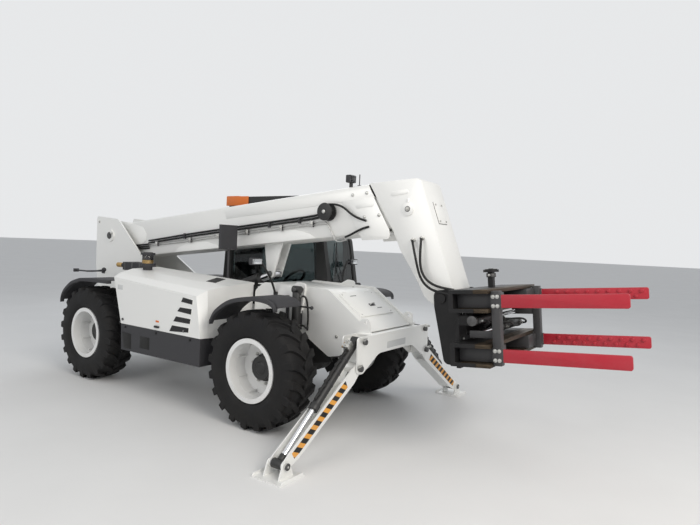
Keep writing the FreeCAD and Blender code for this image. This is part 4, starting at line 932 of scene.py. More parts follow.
def clipped(shape, fence):
    """A convex outline cut down to what lies inside a convex, anticlockwise fence."""
    for k, a in enumerate(fence):
        b = fence[(k + 1) % len(fence)]
        kept = []
        for j, q in enumerate(shape):
            p = shape[j - 1]
            away_p, away_q = [(b[0] - a[0]) * (s[1] - a[1]) - (b[1] - a[1]) * (s[0] - a[0])
                              for s in (p, q)]
            if (away_p < 0) != (away_q < 0):
                t = away_p / (away_p - away_q)
                kept.append((p[0] + t * (q[0] - p[0]), p[1] + t * (q[1] - p[1])))
            if away_q >= 0:
                kept.append(q)
        shape = kept
    return shape


def make_leg_trim(side):
    """Hazard stripes on the leg's outer plates and the plates that keep its pins."""
    fence = [(0.22, -0.046), (1.04, -0.046), (1.11, -0.036), (1.11, 0.026), (0.22, 0.034)]
    shapes = []
    for near, far in ((0.0738, 0.0746), (-0.0746, -0.0738)):
        put(shapes, "stripe_amber", (plate, fence, near, far, "yz"))
    for k in range(10):
        y = 0.13 + 0.104 * k
        bar_outline = clipped([(y, -0.08), (y + 0.054, -0.08), (y + 0.15, 0.06), (y + 0.096, 0.06)], fence)
        if len(bar_outline) > 2:
            for near, far in ((0.0744, 0.075), (-0.075, -0.0744)):
                put(shapes, "stripe_black", (plate, bar_outline, near, far, "yz"))
    tag = "left" if side > 0 else "right"
    place = leg_line(LEG_AT, FOOT_AT, side)
    finish_piece("hazard_stripes_%s" % tag, shapes, "stabiliser_leg_%s" % tag, place)
    pins = []
    for y, z, r in ((LEG_AT[0], LEG_AT[1], 0.03), (STAB_TOP[0], STAB_TOP[1], 0.026)):
        put(pins, "dark_steel", (bar, (BEAM_X - 0.002, side * y, z), (BEAM_X + 0.034, side * y, z), r, 36,
            0.003))
        put(pins, "zinc", (block, (BEAM_X + 0.026, BEAM_X + 0.032), across(side, y - 0.012, y + 0.075),
            (z + 0.018, z + 0.044), 0.002), (bar, (BEAM_X + 0.03, side * (y + 0.06), z + 0.031),
            (BEAM_X + 0.042, side * (y + 0.06), z + 0.031), 0.01, 6, 0.001))
    finish_piece("stabiliser_pins_%s" % tag, pins, "chassis")
    foot = []
    x0 = BEAM_X - BEAM_DEPTH / 2
    for near in (-1, 1):
        y, z = FOOT_AT
        put(foot, "dark_steel", (bar, (x0 + near * 0.098, side * y, z), (x0 + near * 0.108, side * y, z),
            0.03, 28, 0.002))
        put(foot, "zinc", (bar, (x0 + near * 0.104, side * y, z), (x0 + near * 0.112, side * y, z), 0.01, 6,
            0.001))
    for near in (-1, 1):
        put(foot, "white_paint", (plate, [(side * 1.602, 0.01), (side * 1.898, 0.01), (side * 1.88, 0.034),
            (side * 1.62, 0.034)], x0 + near * 0.158 - 0.004, x0 + near * 0.158 + 0.004, "yz", 0.002))
    finish_piece("pad_edges_%s" % tag, foot, "stabiliser_pad_%s" % tag)


def make_leg_cylinder(side):
    """Hoses, spiral guard, valve block and gland of a stabiliser cylinder."""
    tag = "left" if side > 0 else "right"
    place = leg_line(STAB_TOP, FOOT_AT, side)
    run = math.hypot(FOOT_AT[0] - STAB_TOP[0], STAB_TOP[1] - FOOT_AT[1])
    end = run * 0.6
    shapes = [dress(bar((0, end - 0.055, 0), (0, end + 0.006, 0), 0.048, 44, 0.003), "black_paint"),
        dress(bar((0, end + 0.004, 0), (0, end + 0.012, 0), 0.032, 36, 0.002), "dark_steel")]
    put(shapes, "zinc", (block, (-0.032, 0.032), (0.085, 0.17), (0.04, 0.098), 0.004))
    for y in (0.105, 0.15):
        put(shapes, "zinc", (bar, (0.0, y, 0.096), (0.0, y, 0.118), 0.013, 6, 0.001))
        put(shapes, "brass", (bar, (-0.032, y, 0.068), (-0.056, y, 0.068), 0.012, 6, 0.001))
    guard = [(0.0, 0.17, 0.062)]
    for k in range(40):
        t = 0.9 * k
        guard.append((0.016 * math.sin(t), 0.185 + (end - 0.29) * k / 39.0, 0.058 + 0.006 * math.cos(t)))
    guard.append((0.0, end - 0.07, 0.05))
    put(shapes, "hose_rubber", (hose, guard, 0.0095, 3, 4),
        (bar, (0, 0.17, 0.058), (0, end - 0.08, 0.054), 0.012, 20))
    for y in (0.26, 0.42, 0.56):
        put(shapes, "black_plastic", (turned, [(y - 0.006, 0.041), (y - 0.006, 0.0445), (y + 0.006, 0.0445),
            (y + 0.006, 0.041)], 40))
    finish_piece("stabiliser_guard_%s" % tag, shapes, "stabiliser_barrel_%s" % tag, place)
    eye = [dress(bar((-0.056, run, 0), (0.056, run, 0), 0.0415, 44, 0.002), "black_paint"),
        dress(bar((0, run - 0.085, 0), (0, run - 0.03, 0), 0.034, 36, 0.003), "black_paint")]
    finish_piece("stabiliser_eye_%s" % tag, eye, "stabiliser_rod_%s" % tag, place)


# fenders, hood and small fittings
def flowing(points, steps=4):
    """A smooth line through the points."""
    line = []
    ends = [points[0]] + list(points) + [points[-1]]
    for a, b, c, d in zip(ends, ends[1:], ends[2:], ends[3:]):
        for k in range(steps):
            t = k / steps
            line.append(tuple(0.5 * (2 * q + (r - p) * t + (2 * p - 5 * q + 4 * r - u) * t ** 2
                                     + (3 * q - p - 3 * r + u) * t ** 3)
                              for p, q, r, u in zip(a, b, c, d)))
    return line + [points[-1]]


def make_fenders():
    """Bent fender plates with a turned lip, on brackets from the frame."""
    shapes = []
    front = [(-0.6, 1.085), (-0.53, 1.195), (-0.378, 1.3), (-0.23, 1.355), (-0.028, 1.39), (0.13, 1.395),
        (0.245, 1.38), (0.31, 1.35), (0.335, 1.31)]
    rear = [(-0.615, 1.03), (-0.59, 1.1), (-0.52, 1.185), (-0.36, 1.29), (-0.2, 1.34), (-0.08, 1.362),
        (0.2, 1.37), (0.54, 1.372)]
    for end, top, inner in (("front", front, 0.47), ("rear", rear, 0.355)):
        x0 = AXLES[end]
        outer = [(x0 + x, z) for x, z in flowing(top)]
        under = [(x, z - 0.009) for x, z in reversed(outer)]
        skirt = [(x, z - 0.045) for x, z in reversed(outer)]
        for side in (1, -1):
            near, far = across(side, 0.76, 1.15)
            shapes.append(plate(outer + under, near, far, "xz", 0.003))
            near, far = across(side, 1.125, 1.182)
            shapes.append(plate(outer + skirt, near, far, "xz", 0.018))
            z = 1.35 if end == "front" else 1.33
            for x in about(x0, 0.1):
                shapes.append(block(about(x, 0.02), across(side, inner, 1.1), (z, z + 0.014), 0.002))
                shapes.append(block(about(x, 0.02), across(side, inner, inner + 0.012), (1.0, z + 0.01),
                    0.002))
    for shape in shapes:
        dress(shape, "black_plastic")
    obj = finish_piece("fender_plates", shapes, "chassis")
    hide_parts("fenders")


def make_hood_trim():
    """Four slatted grilles, latches, a handle, markers and the crease on the hood's side."""
    shapes = []
    side = -1.15
    grilles = ([(2.014, 1.29), (2.189, 1.272), (2.185, 1.215), (1.982, 1.23)],
        [(1.967, 1.171), (2.177, 1.17), (2.17, 1.101), (1.917, 1.115)],
        [(1.902, 1.06), (2.166, 1.055), (2.152, 0.993), (1.851, 0.992)],
        [(1.835, 0.948), (2.137, 0.95), (2.133, 0.893), (1.784, 0.867)])
    for a, b, c, d in grilles:
        put(shapes, "stripe_black", (plate, [d, c, b, a], side - 0.0022, side + 0.002, "xz", 0.0008))
        for k in range(1, 5):
            t = k / 5.0
            left = (a[0] + (d[0] - a[0]) * t, a[1] + (d[1] - a[1]) * t)
            right = (b[0] + (c[0] - b[0]) * t, b[1] + (c[1] - b[1]) * t)
            put(shapes, "black_plastic", (bar, (left[0] + 0.006, side - 0.0025, left[1]),
                (right[0] - 0.006, side - 0.0025, right[1]), 0.0028, 8))
        for start, end in ((a, b), (b, c), (c, d), (d, a)):
            put(shapes, "white_paint", (bar, (start[0], side - 0.001, start[1]),
                (end[0], side - 0.001, end[1]), 0.0035, 10))
    for points in ([(0.8, 0.862), (1.1, 0.862), (1.45, 0.864), (1.78, 0.866)],
            [(0.7, 1.395), (1.1, 1.375), (1.55, 1.345), (2.17, 1.3)]):
        put(shapes, "white_paint", (hose, [(x, side - 0.0006, z) for x, z in points], 0.0028, 2, 3))
    put(shapes, "black_plastic", (block, (1.515, 1.6), (side - 0.02, side + 0.002), (0.88, 0.905), 0.006))
    put(shapes, "stripe_black", (block, (1.523, 1.592), (side - 0.0235, side - 0.018), (0.885, 0.9), 0.003))
    put(shapes, "marker_orange", (block, (1.528, 1.588), (side - 0.003, side + 0.001), (0.945, 0.968), 0.002))
    put(shapes, "plate_grey", (block, (0.73, 0.84), (side - 0.0018, side + 0.001), (1.275, 1.335), 0.001))
    for x in (0.86, 2.05):
        put(shapes, "black_plastic", (bar, (x, side - 0.012, 0.905), (x, side + 0.002, 0.905), 0.016, 24,
            0.003))
        put(shapes, "zinc", (bar, (x, side - 0.014, 0.905), (x, side - 0.01, 0.905), 0.006, 12))
    slot = [(1.86, -0.52, 1.484), (2.02, -0.52, 1.477), (2.15, -0.8, 1.446), (1.98, -0.8, 1.455)]
    for low, high, grow, finish in ((-0.012, 0.001, 1.06, "white_paint"),
            (-0.01, 0.0025, 1.0, "stripe_black")):
        bpy.ops.mesh.primitive_cube_add(size=2.0)
        vent = bpy.context.object
        mid = [sum(c) / 4 for c in zip(*slot)]
        order = {(-1, 1): 0, (1, 1): 1, (1, -1): 2, (-1, -1): 3}
        for vertex in vent.data.vertices:
            x, y, z = slot[order[round(vertex.co.x), round(vertex.co.y)]]
            lift = high if vertex.co.z > 0 else low
            vertex.co = (mid[0] + (x - mid[0]) * grow, mid[1] + (y - mid[1]) * grow, z + lift)
        shapes.append(dress(settle(vent), finish))
    finish_piece("hood_trim", shapes, "engine_hood")
    lower = []
    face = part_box("side_panel")[0][1]
    for outline in ([(0.85, 0.752), (1.042, 0.739), (1.052, 0.553), (0.904, 0.544)],
            [(1.229, 0.739), (1.417, 0.739), (1.417, 0.594), (1.229, 0.594)]):
        lower.append(plate([outline[3], outline[2], outline[1], outline[0]], face - 0.002, face + 0.002, "xz",
            0.001))
    for k in range(3):
        x = 0.92 + 0.62 * k
        lower.append(bar((x, face - 0.01, 0.815), (x, face + 0.002, 0.815), 0.014, 20, 0.002))
    for shape in lower:
        dress(shape, "stripe_black")
    finish_piece("side_panel_plates", lower, "chassis")


def make_fittings():
    """Air cleaner bands, exhaust tip, mirror glass, lamp lenses, rear lamps, marker."""
    shapes = []
    spot = middle("air_cleaner")
    low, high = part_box("air_cleaner")
    x, y, top = (spot[0] - REAR_AXLE_X, spot[1], high[2])
    put(shapes, "lamp_glass", (bar, (x, y, top - 0.14), (x, y, top - 0.04), 0.0735, 48, 0.002))
    put(shapes, "brass", (bar, (x, y, top - 0.139), (x, y, top - 0.095), 0.0728, 48))
    put(shapes, "black_plastic", (bar, (x, y, top - 0.002), (x, y, top + 0.008), 0.06, 48, 0.004))
    for k in range(16):
        t = 2 * math.pi * k / 16
        c, s = (math.cos(t), math.sin(t))
        put(shapes, "black_plastic", (bar, (x + 0.0885 * c, y + 0.0885 * s, top - 0.03),
            (x + 0.0885 * c, y + 0.0885 * s, top - 0.002), 0.004, 8))
    low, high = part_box("exhaust_box")
    tail, side_y = (low[0] - REAR_AXLE_X, -0.59)
    shapes.append(dress(turned_at([(0.0, 0.03), (0.0, 0.034), (0.12, 0.034), (0.12, 0.03)],
        (tail - 0.002, side_y, 1.535)), "brass"))
    box_rear, box_front = 0.12, 0.56
    for x in (box_rear + 0.05, (box_rear + box_front) / 2, box_front - 0.05):
        put(shapes, "dark_steel", (block, about(x, 0.014), (-0.703, -0.477), (1.477, 1.593), 0.002))
    low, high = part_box("mirror")
    rear = low[0] - REAR_AXLE_X
    put(shapes, "mirror_silver", (block, (rear - 0.002, rear + 0.001), (low[1] + 0.014, low[1] + 0.256),
        (high[2] - 0.296, high[2] - 0.014), 0.001))
    for side in (1, -1):
        y = side * 0.97
        put(shapes, "black_plastic", (block, (-0.64, -0.56), about(y, 0.02), (1.075, 1.09), 0.002),
            (block, (-0.652, -0.636), about(y, 0.085), (1.02, 1.095), 0.004))
        put(shapes, "red_glass", (block, (-0.66, -0.651), (y - 0.078, y - 0.003), (1.028, 1.087), 0.003))
        put(shapes, "orange_glass", (block, (-0.66, -0.651), (y + 0.003, y + 0.078), (1.028, 1.087), 0.003))
    low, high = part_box("counterweight")
    rear = low[0] - REAR_AXLE_X
    put(shapes, "black_paint", (bar, (-0.97, -0.605, 1.389), (-0.97, -0.325, 1.389), 0.013, 20, 0.002),
        (block, (-1.01, -0.93), (-0.34, -0.329), (1.35, 1.43), 0.003))
    put(shapes, "black_plastic", (hose, [(-0.97, -0.595, 1.389), (-1.15, -0.6, 1.388), (-1.268, -0.6, 1.386)],
        0.012, 3, 3), (hose, [(-0.97, -0.595, 1.389), (-0.75, -0.6, 1.395), (-0.509, -0.6, 1.439)], 0.012, 3,
        3))
    bpy.ops.mesh.primitive_uv_sphere_add(segments=24, ring_count=14, radius=0.032,
        location=(-0.509, -0.6, 1.439))
    shapes.append(dress(settle(bpy.context.object), "black_plastic"))
    put(shapes, "black_plastic", (block, (-1.3, -1.262), (-0.64, -0.56), (1.36, 1.412), 0.008))
    put(shapes, "red_glass", (block, (-1.3045, -1.299), (-0.632, -0.568), (1.368, 1.404), 0.002))
    finish_piece("small_fittings", shapes, "chassis")


def turned_at(profile, place):
    """A (along, radius) profile spun about X, put at a place."""
    obj = turned(profile, 40, "X")
    obj.location = place
    return settle(obj)


def make_tower_trim():
    """Pivot pins with keepers, bolts, and the hoses from the frame to the boom."""
    shapes = []
    for side in (1, -1):
        for x, z, r in ((-0.8, 1.95, 0.052),):
            y = side * 0.352
            put(shapes, "dark_steel", (bar, (x, y - side * 0.004, z), (x, y + side * 0.012, z), r, 48, 0.003))
            put(shapes, "zinc", (block, (x - 0.012, x + 0.085), sorted((y + side * 0.006, y + side * 0.012)),
                (z + 0.02, z + 0.048), 0.002))
            shapes.append(hex_bolt(x + 0.07, y + side * 0.012, z + 0.034, side, 0.01, 0.008))
        for x, z in ((-1.12, 2.16), (-1.12, 1.2), (-0.2, 1.3), (0.35, 1.15)):
            shapes.append(hex_bolt(x, side * 0.33, z, side, 0.013, 0.01))
    finish_piece("pivot_pins_and_bolts", shapes, "chassis")
    for k in range(3):
        y = -0.245 - 0.0 * k
        drop = 0.03 * k
        points = [(-0.42, -0.285, 1.16 + drop), (-0.62, -0.285, 1.34), (-0.74 - drop, -0.275, 1.55),
            (-0.7 - drop, -0.262, 1.75 - drop), (-0.42, -0.25, 1.815 - drop), (-0.1, -0.247, 1.832 - drop),
            (0.066, -0.247, 1.85 - drop)]
        obj = hose([(px + REAR_AXLE_X, py, pz) for px, py, pz in points], 0.0115, 4, 4)
        dress(obj, "hose_rubber")
        smooth(obj)
        obj.name = "boom_feed_hose_%s" % "abc"[k]
        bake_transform(obj)


def make_front_trim():
    """Levelling cylinders, hoses, a lever, the plate under the frame and fittings on the deck."""
    shapes = []
    for side in (1, -1):
        y = side * 0.58
        put(shapes, "black_paint", (bar, (3.22, y, 1.0), (3.22, y, 1.423), 0.05, 44, 0.004))
        put(shapes, "dark_steel", (bar, (3.22, y, 0.985), (3.22, y, 1.015), 0.054, 44, 0.003))
        put(shapes, "chrome", (bar, (3.22, y, 0.74), (3.22, y, 1.0), 0.028, 32))
        put(shapes, "black_paint", (bar, (3.18, y, 0.73), (3.26, y, 0.73), 0.04, 36, 0.003),
            (bar, (3.17, y, 1.45), (3.27, y, 1.45), 0.042, 36, 0.003))
        put(shapes, "dark_steel", (bar, (3.22, side * 0.49, 1.45), (3.22, side * 0.64, 1.45), 0.022, 32,
            0.002))
        put(shapes, "black_paint", (block, (3.19, 3.25), across(side, 0.48, 0.64), (0.66, 0.7), 0.003))
        for z in (1.06, 1.38):
            put(shapes, "zinc", (bar, (3.265, y, z), (3.292, y, z), 0.012, 6, 0.001))
            put(shapes, "hose_rubber", (hose, [(3.29, y, z), (3.345, y, z + 0.02), (3.36, y * 0.95, z - 0.08),
                (3.33, side * 0.5, 1.1), (3.3, side * 0.474, 1.0)], 0.0105, 3, 4))
    put(shapes, "black_paint", (bar, (3.13, -0.466, 1.27), (3.13, -0.582, 1.27), 0.01, 20),
        (bar, (3.13, -0.58, 1.27), (3.43, -0.58, 1.27), 0.01, 20, 0.002))
    bpy.ops.mesh.primitive_uv_sphere_add(segments=24, ring_count=14, radius=0.02,
        location=(3.435, -0.58, 1.27))
    shapes.append(dress(settle(bpy.context.object), "black_plastic"))
    put(shapes, "black_paint", (plate, [(3.343, 0.629), (3.618, 0.685), (3.412, 0.942), (3.182, 0.935)],
        -0.406, -0.396, "xz", 0.002))
    finish_piece("front_hydraulics", shapes, "chassis")
    small = []
    for x, y, z in ((3.3, -0.4, 1.446), (3.3, 0.4, 1.446), (2.8, -0.4, 1.457), (2.8, 0.4, 1.457)):
        put(small, "zinc", (bar, (x, y, z - 0.002), (x, y, z + 0.008), 0.013, 6, 0.001))
    for side in (1, -1):
        for x, z in ((2.6, 1.05), (2.78, 1.05), (3.7, 0.98), (3.88, 0.98), (4.02, 0.82)):
            small.append(hex_bolt(x, side * 0.47, z, side, 0.013, 0.01))
    finish_piece("deck_fittings", small, "chassis")
    beam = [dress(block((BEAM_X - 0.001, BEAM_X + 0.0015), (-0.2, 0.2), (0.89, 0.96), 0.001), "plate_grey")]
    finish_piece("beam_blank_plate", beam, "chassis")


def make_deck():
    """The deck's cover down to the beam, and the hatch that lies on its slope."""
    top = plate([(2.5, 1.464), (3.565, 1.44), (4.095, 1.081), (4.095, 1.071), (3.56, 1.43), (2.5, 1.454)],
        -0.4485, 0.4485, "xz", 0.002)
    finish_piece("deck_cover", [dress(top, "white_paint")], "chassis")
    lid = block((0.04, 0.43), (-0.33, 0.33), (0.0005, 0.014), 0.004)
    shapes = [dress(lid, "white_paint")]
    for y in (-0.24, 0.24):
        put(shapes, "white_paint", (bar, (0.036, y - 0.04, 0.01), (0.036, y + 0.04, 0.01), 0.01, 24, 0.001))
    for y in (-0.3, 0.3):
        for x in (0.07, 0.4):
            put(shapes, "zinc", (bar, (x, y, 0.013), (x, y, 0.018), 0.009, 6, 0.001))
    for start, end in (((0.1, -0.18), (0.1, -0.06)), ((0.33, 0.1), (0.33, 0.2))):
        put(shapes, "stripe_black", (block, (start[0] - 0.005, start[0] + 0.005), (start[1], end[1]),
            (0.0138, 0.0146), 0.0005))
    put(shapes, "zinc", (hose, [(0.27, 0.02, 0.012), (0.27, 0.022, 0.04), (0.27, 0.06, 0.046),
        (0.27, 0.098, 0.04), (0.27, 0.1, 0.012)], 0.005, 3, 4))
    put(shapes, "black_plastic", (block, (0.25, 0.29), (0.005, 0.115), (0.0135, 0.0165), 0.002))
    obj = finish_piece("hatch_lid", shapes, "front_hatch",
        slope_frame((3.565, 1.44), math.atan2(-0.359, 0.53)))
    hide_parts("front_hatch")


def make_lamps():
    """Work lamps on bent posts beside the hood and the cab."""
    shapes = []
    for x, post, reach in ((2.81, [(-0.474, 1.345), (-0.5, 1.42), (-0.6, 1.6), (-0.745, 1.74)],
            (-0.9, -0.74)), (2.915, [(0.7, 1.36), (0.7, 1.5), (0.74, 1.66), (0.8, 1.742)], (0.78, 1.09))):
        put(shapes, "black_paint", (hose, [(x, y, z) for y, z in post], 0.013, 3, 3))
        foot = post[0]
        put(shapes, "black_paint", (block, about(x, 0.03), (foot[0] - 0.008, foot[0] + 0.008),
            (foot[1] - 0.045, foot[1] + 0.045), 0.003))
        mid = (reach[0] + reach[1]) / 2
        half = 0.08
        put(shapes, "black_plastic", (block, (x - 0.03, x + 0.026), about(mid, half), (1.7, 1.776), 0.01))
        put(shapes, "lamp_glass", (block, (x + 0.024, x + 0.032), (mid - half + 0.008, mid + half - 0.008),
            (1.708, 1.768), 0.003))
        put(shapes, "mirror_silver", (block, (x + 0.0255, x + 0.0275),
            (mid - half + 0.012, mid + half - 0.012), (1.712, 1.764)))
        for k in range(6):
            y = mid - 0.06 + 0.024 * k
            put(shapes, "black_plastic", (block, (x - 0.04, x - 0.028), about(y, 0.002), (1.706, 1.77),
                0.001))
        near, far = sorted((post[-1][0], mid))
        put(shapes, "black_paint", (block, about(x, 0.012), (near, far), (1.728, 1.748), 0.002))
    obj = finish_piece("work_lamp_heads", shapes, "chassis")
    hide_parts("work_lamps")


def make_axle_trim():
    """Steering cylinders with rods, kingpin caps and brake lines on both axles."""
    shapes = []
    for end, x0 in AXLES.items():
        back = -0.185 if end == "front" else 0.185
        x = x0 + back
        put(shapes, "black_paint", (bar, (x, -0.29, TYRE_R), (x, 0.29, TYRE_R), 0.034, 36, 0.003))
        for side in (1, -1):
            put(shapes, "dark_steel", (bar, (x, side * 0.27, TYRE_R), (x, side * 0.3, TYRE_R), 0.038, 36,
                0.002))
            put(shapes, "chrome", (bar, (x, side * 0.29, TYRE_R), (x, side * 0.5, TYRE_R), 0.017, 28))
            put(shapes, "black_paint", (bar, (x, side * 0.495, TYRE_R), (x, side * 0.545, TYRE_R), 0.02, 24,
                0.003))
            put(shapes, "hose_rubber", (hose, [(x, side * 0.25, TYRE_R + 0.034),
                (x, side * 0.24, TYRE_R + 0.09), (x0, side * 0.2, TYRE_R + 0.16),
                (x0 + 0.02, side * 0.3, TYRE_R + 0.12)], 0.009, 3, 4))
        put(shapes, "black_paint", (bar, (x - 0.04, 0.0, TYRE_R), (x0, 0.0, TYRE_R), 0.06, 32, 0.004))
    finish_piece("steering_gear", shapes, "chassis")
    for end in AXLES:
        for side, tag in ((1, "left"), (-1, "right")):
            caps = []
            for z in (TYRE_R + 0.14, TYRE_R - 0.14):
                put(caps, "dark_steel", (bar, (0.0, -0.24, z - TYRE_R - 0.002),
                    (0.0, -0.24, z - TYRE_R + 0.002), 0.03, 24))
            finish_piece("kingpin_caps_%s_%s" % (end, tag), caps, "knuckle_%s_%s" % (end, tag),
                wheel(end, side))


# cab
def seal_line(corners, y, radius=0.008, closed=True):
    """A rubber seal along the straight sides of an outline in X and Z."""
    pieces = []
    n = len(corners)
    for k in range(n if closed else n - 1):
        a, b = corners[k], corners[(k + 1) % n]
        pieces.append(bar((a[0], y, a[1]), (b[0], y, b[1]), radius, 12))
        bpy.ops.mesh.primitive_uv_sphere_add(segments=12, ring_count=8, radius=radius,
                                             location=(a[0], y, a[1]))
        pieces.append(settle(bpy.context.object))
    return dress(join(pieces), "floor_rubber")


def make_cab_trim():
    """Seals, handles, wiper, dashboard, pedals, levers, mat, roof corner and rain gutter."""
    shapes = [seal_line([(1.06, 1.4), (1.08, 2.398), (2.21, 2.398), (2.598, 1.952), (2.638, 1.4)], 0.484)]
    for y in (0.556, 1.08):
        shapes.append(seal_line([(2.455, 2.33), (2.718, 2.022), (2.842, 1.46)], y, 0.009, False))
    put(shapes, "floor_rubber", (bar, (2.842, 0.556, 1.462), (2.842, 1.08, 1.462), 0.01, 14))
    pivot = (2.88, 0.82, 1.4)
    put(shapes, "black_plastic", (bar, pivot, (2.866, 0.82, 1.425), 0.016, 20, 0.002),
        (bar, (2.874, 0.82, 1.42), (2.8, 0.7, 1.79), 0.006, 12))
    put(shapes, "floor_rubber", (bar, (2.838, 0.64, 1.56), (2.752, 0.76, 1.985), 0.007, 10))
    put(shapes, "black_plastic", (plate, [(2.38, 0.76), (2.56, 0.76), (2.64, 1.26), (2.56, 1.33), (2.3, 1.3),
        (2.29, 1.22)], 0.545, 1.07, "xz", 0.012), (block, (2.285, 2.3), (0.6, 0.72), (1.325, 1.4), 0.004))
    put(shapes, "window_glass", (block, (2.283, 2.2855), (0.607, 0.713), (1.332, 1.393), 0.001))
    for k in range(3):
        y = 0.66 + 0.11 * k
        put(shapes, "dark_steel", (bar, (2.33, y, 0.93), (2.19, y, 0.8), 0.008, 12))
        put(shapes, "floor_rubber", (block, (2.165, 2.205), about(y, 0.035), (0.78, 0.8), 0.004))
    put(shapes, "floor_rubber", (block, (1.1, 2.2), (0.54, 1.06), (0.7455, 0.751), 0.002))
    put(shapes, "black_plastic", (plate, [(1.2, 0.745), (1.95, 0.745), (1.95, 1.1), (1.8, 1.32),
        (1.22, 1.32)], 0.522, 0.552, "xz", 0.008), (block, (1.58, 1.72), (0.535, 0.625), (1.3, 1.33), 0.006))
    put(shapes, "dark_steel", (bar, (1.65, 0.58, 1.325), (1.66, 0.58, 1.43), 0.009, 16))
    put(shapes, "black_plastic", (bar, (1.66, 0.58, 1.425), (1.67, 0.58, 1.51), 0.021, 24, 0.008))
    corner = [block((0.925, 1.37), (0.449, 0.46), (2.47, 2.606), 0.004),
        block((0.918, 0.929), (0.449, 0.7), (2.47, 2.606), 0.004),
        block((0.925, 1.18), (0.449, 0.64), (2.6, 2.612), 0.004)]
    roof_corner = [dress(shape, "marker_orange") for shape in corner]
    obj = finish_piece("roof_corner_orange", roof_corner, "chassis")
    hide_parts("roof_beacon")
    for x in (1.2, 1.9):
        put(shapes, "black_paint", (block, (x, x + 0.05), (0.62, 0.98), (2.6, 2.612), 0.003))
    for y in (0.6, 0.96):
        put(shapes, "black_plastic", (block, (2.335, 2.372), about(y, 0.07), (2.52, 2.585), 0.006))
        put(shapes, "lamp_glass", (block, (2.37, 2.379), about(y, 0.062), (2.526, 2.579), 0.003))
        put(shapes, "mirror_silver", (block, (2.3685, 2.3715), about(y, 0.058), (2.53, 2.575)))
    finish_piece("cab_fittings", shapes, "chassis")
    door = [seal_line([(1.1, 0.83), (0.99, 1.26), (1.075, 2.42), (2.205, 2.42), (2.59, 1.99), (2.62, 1.62),
        (2.35, 1.385), (2.15, 1.02), (2.12, 0.83)], 1.1525, 0.007)]
    put(door, "black_plastic", (block, (2.02, 2.12), (1.15, 1.166), (1.02, 1.075), 0.006))
    put(door, "zinc", (block, (2.03, 2.09), (1.164, 1.182), (1.035, 1.058), 0.005))
    put(door, "black_paint", (hose, [(2.44, 1.156, 1.5), (2.455, 1.195, 1.53), (2.47, 1.2, 1.7),
        (2.455, 1.195, 1.86), (2.44, 1.156, 1.89)], 0.01, 3, 3))
    finish_piece("door_trim", door, "cab_door")
    rails = [dress(hose([(0.905, 1.148, 1.02), (0.875, 1.185, 1.05), (0.862, 1.19, 1.45), (0.88, 1.185, 1.8),
        (0.915, 1.148, 1.83)], 0.012, 3, 3), "black_paint"),
        dress(block((1.1, 2.1), (1.08, 1.16), (0.655, 0.69), 0.004), "black_paint"),
        dress(block((1.2, 2.0), (1.12, 1.2), (0.43, 0.46), 0.004), "black_paint")]
    for x in (1.24, 1.96):
        put(rails, "black_paint", (block, about(x, 0.02), (1.125, 1.15), (0.44, 0.7), 0.003))
    for k in range(9):
        x = 1.24 + 0.09 * k
        put(rails, "dark_steel", (block, (x, x + 0.03), (1.125, 1.195), (0.459, 0.465), 0.002))
    finish_piece("cab_step_and_rail", rails, "chassis")


# soft seat
def stuffed(obj, limit, pressure=4.0):
    """A closed shape blown up a little by cloth under pressure, held to a limit, then smoothed."""
    pick(obj)
    even = obj.modifiers.new("even", "REMESH")
    even.mode = "VOXEL"
    even.voxel_size = 0.008
    bpy.ops.object.modifier_apply(modifier=even.name)
    rest = [vert.co.copy() for vert in obj.data.vertices]
    cloth = obj.modifiers.new("swell", "CLOTH")
    cloth.settings.use_pressure = True
    cloth.settings.uniform_pressure_force = pressure
    cloth.settings.effector_weights.gravity = 0.0
    cloth.point_cache.frame_start = 1
    cloth.point_cache.frame_end = 20
    for step in range(1, 21):
        bpy.context.scene.frame_set(step)
    bpy.ops.object.modifier_apply(modifier=cloth.name)
    bpy.context.scene.frame_set(1)
    for vert, start in zip(obj.data.vertices, rest):
        move = vert.co - start
        if move.length > limit:
            vert.co = start + move * (limit / move.length)
    even = obj.modifiers.new("fine", "SUBSURF")
    even.levels = 1
    even.render_levels = 1
    bpy.ops.object.modifier_apply(modifier=even.name)
    return obj


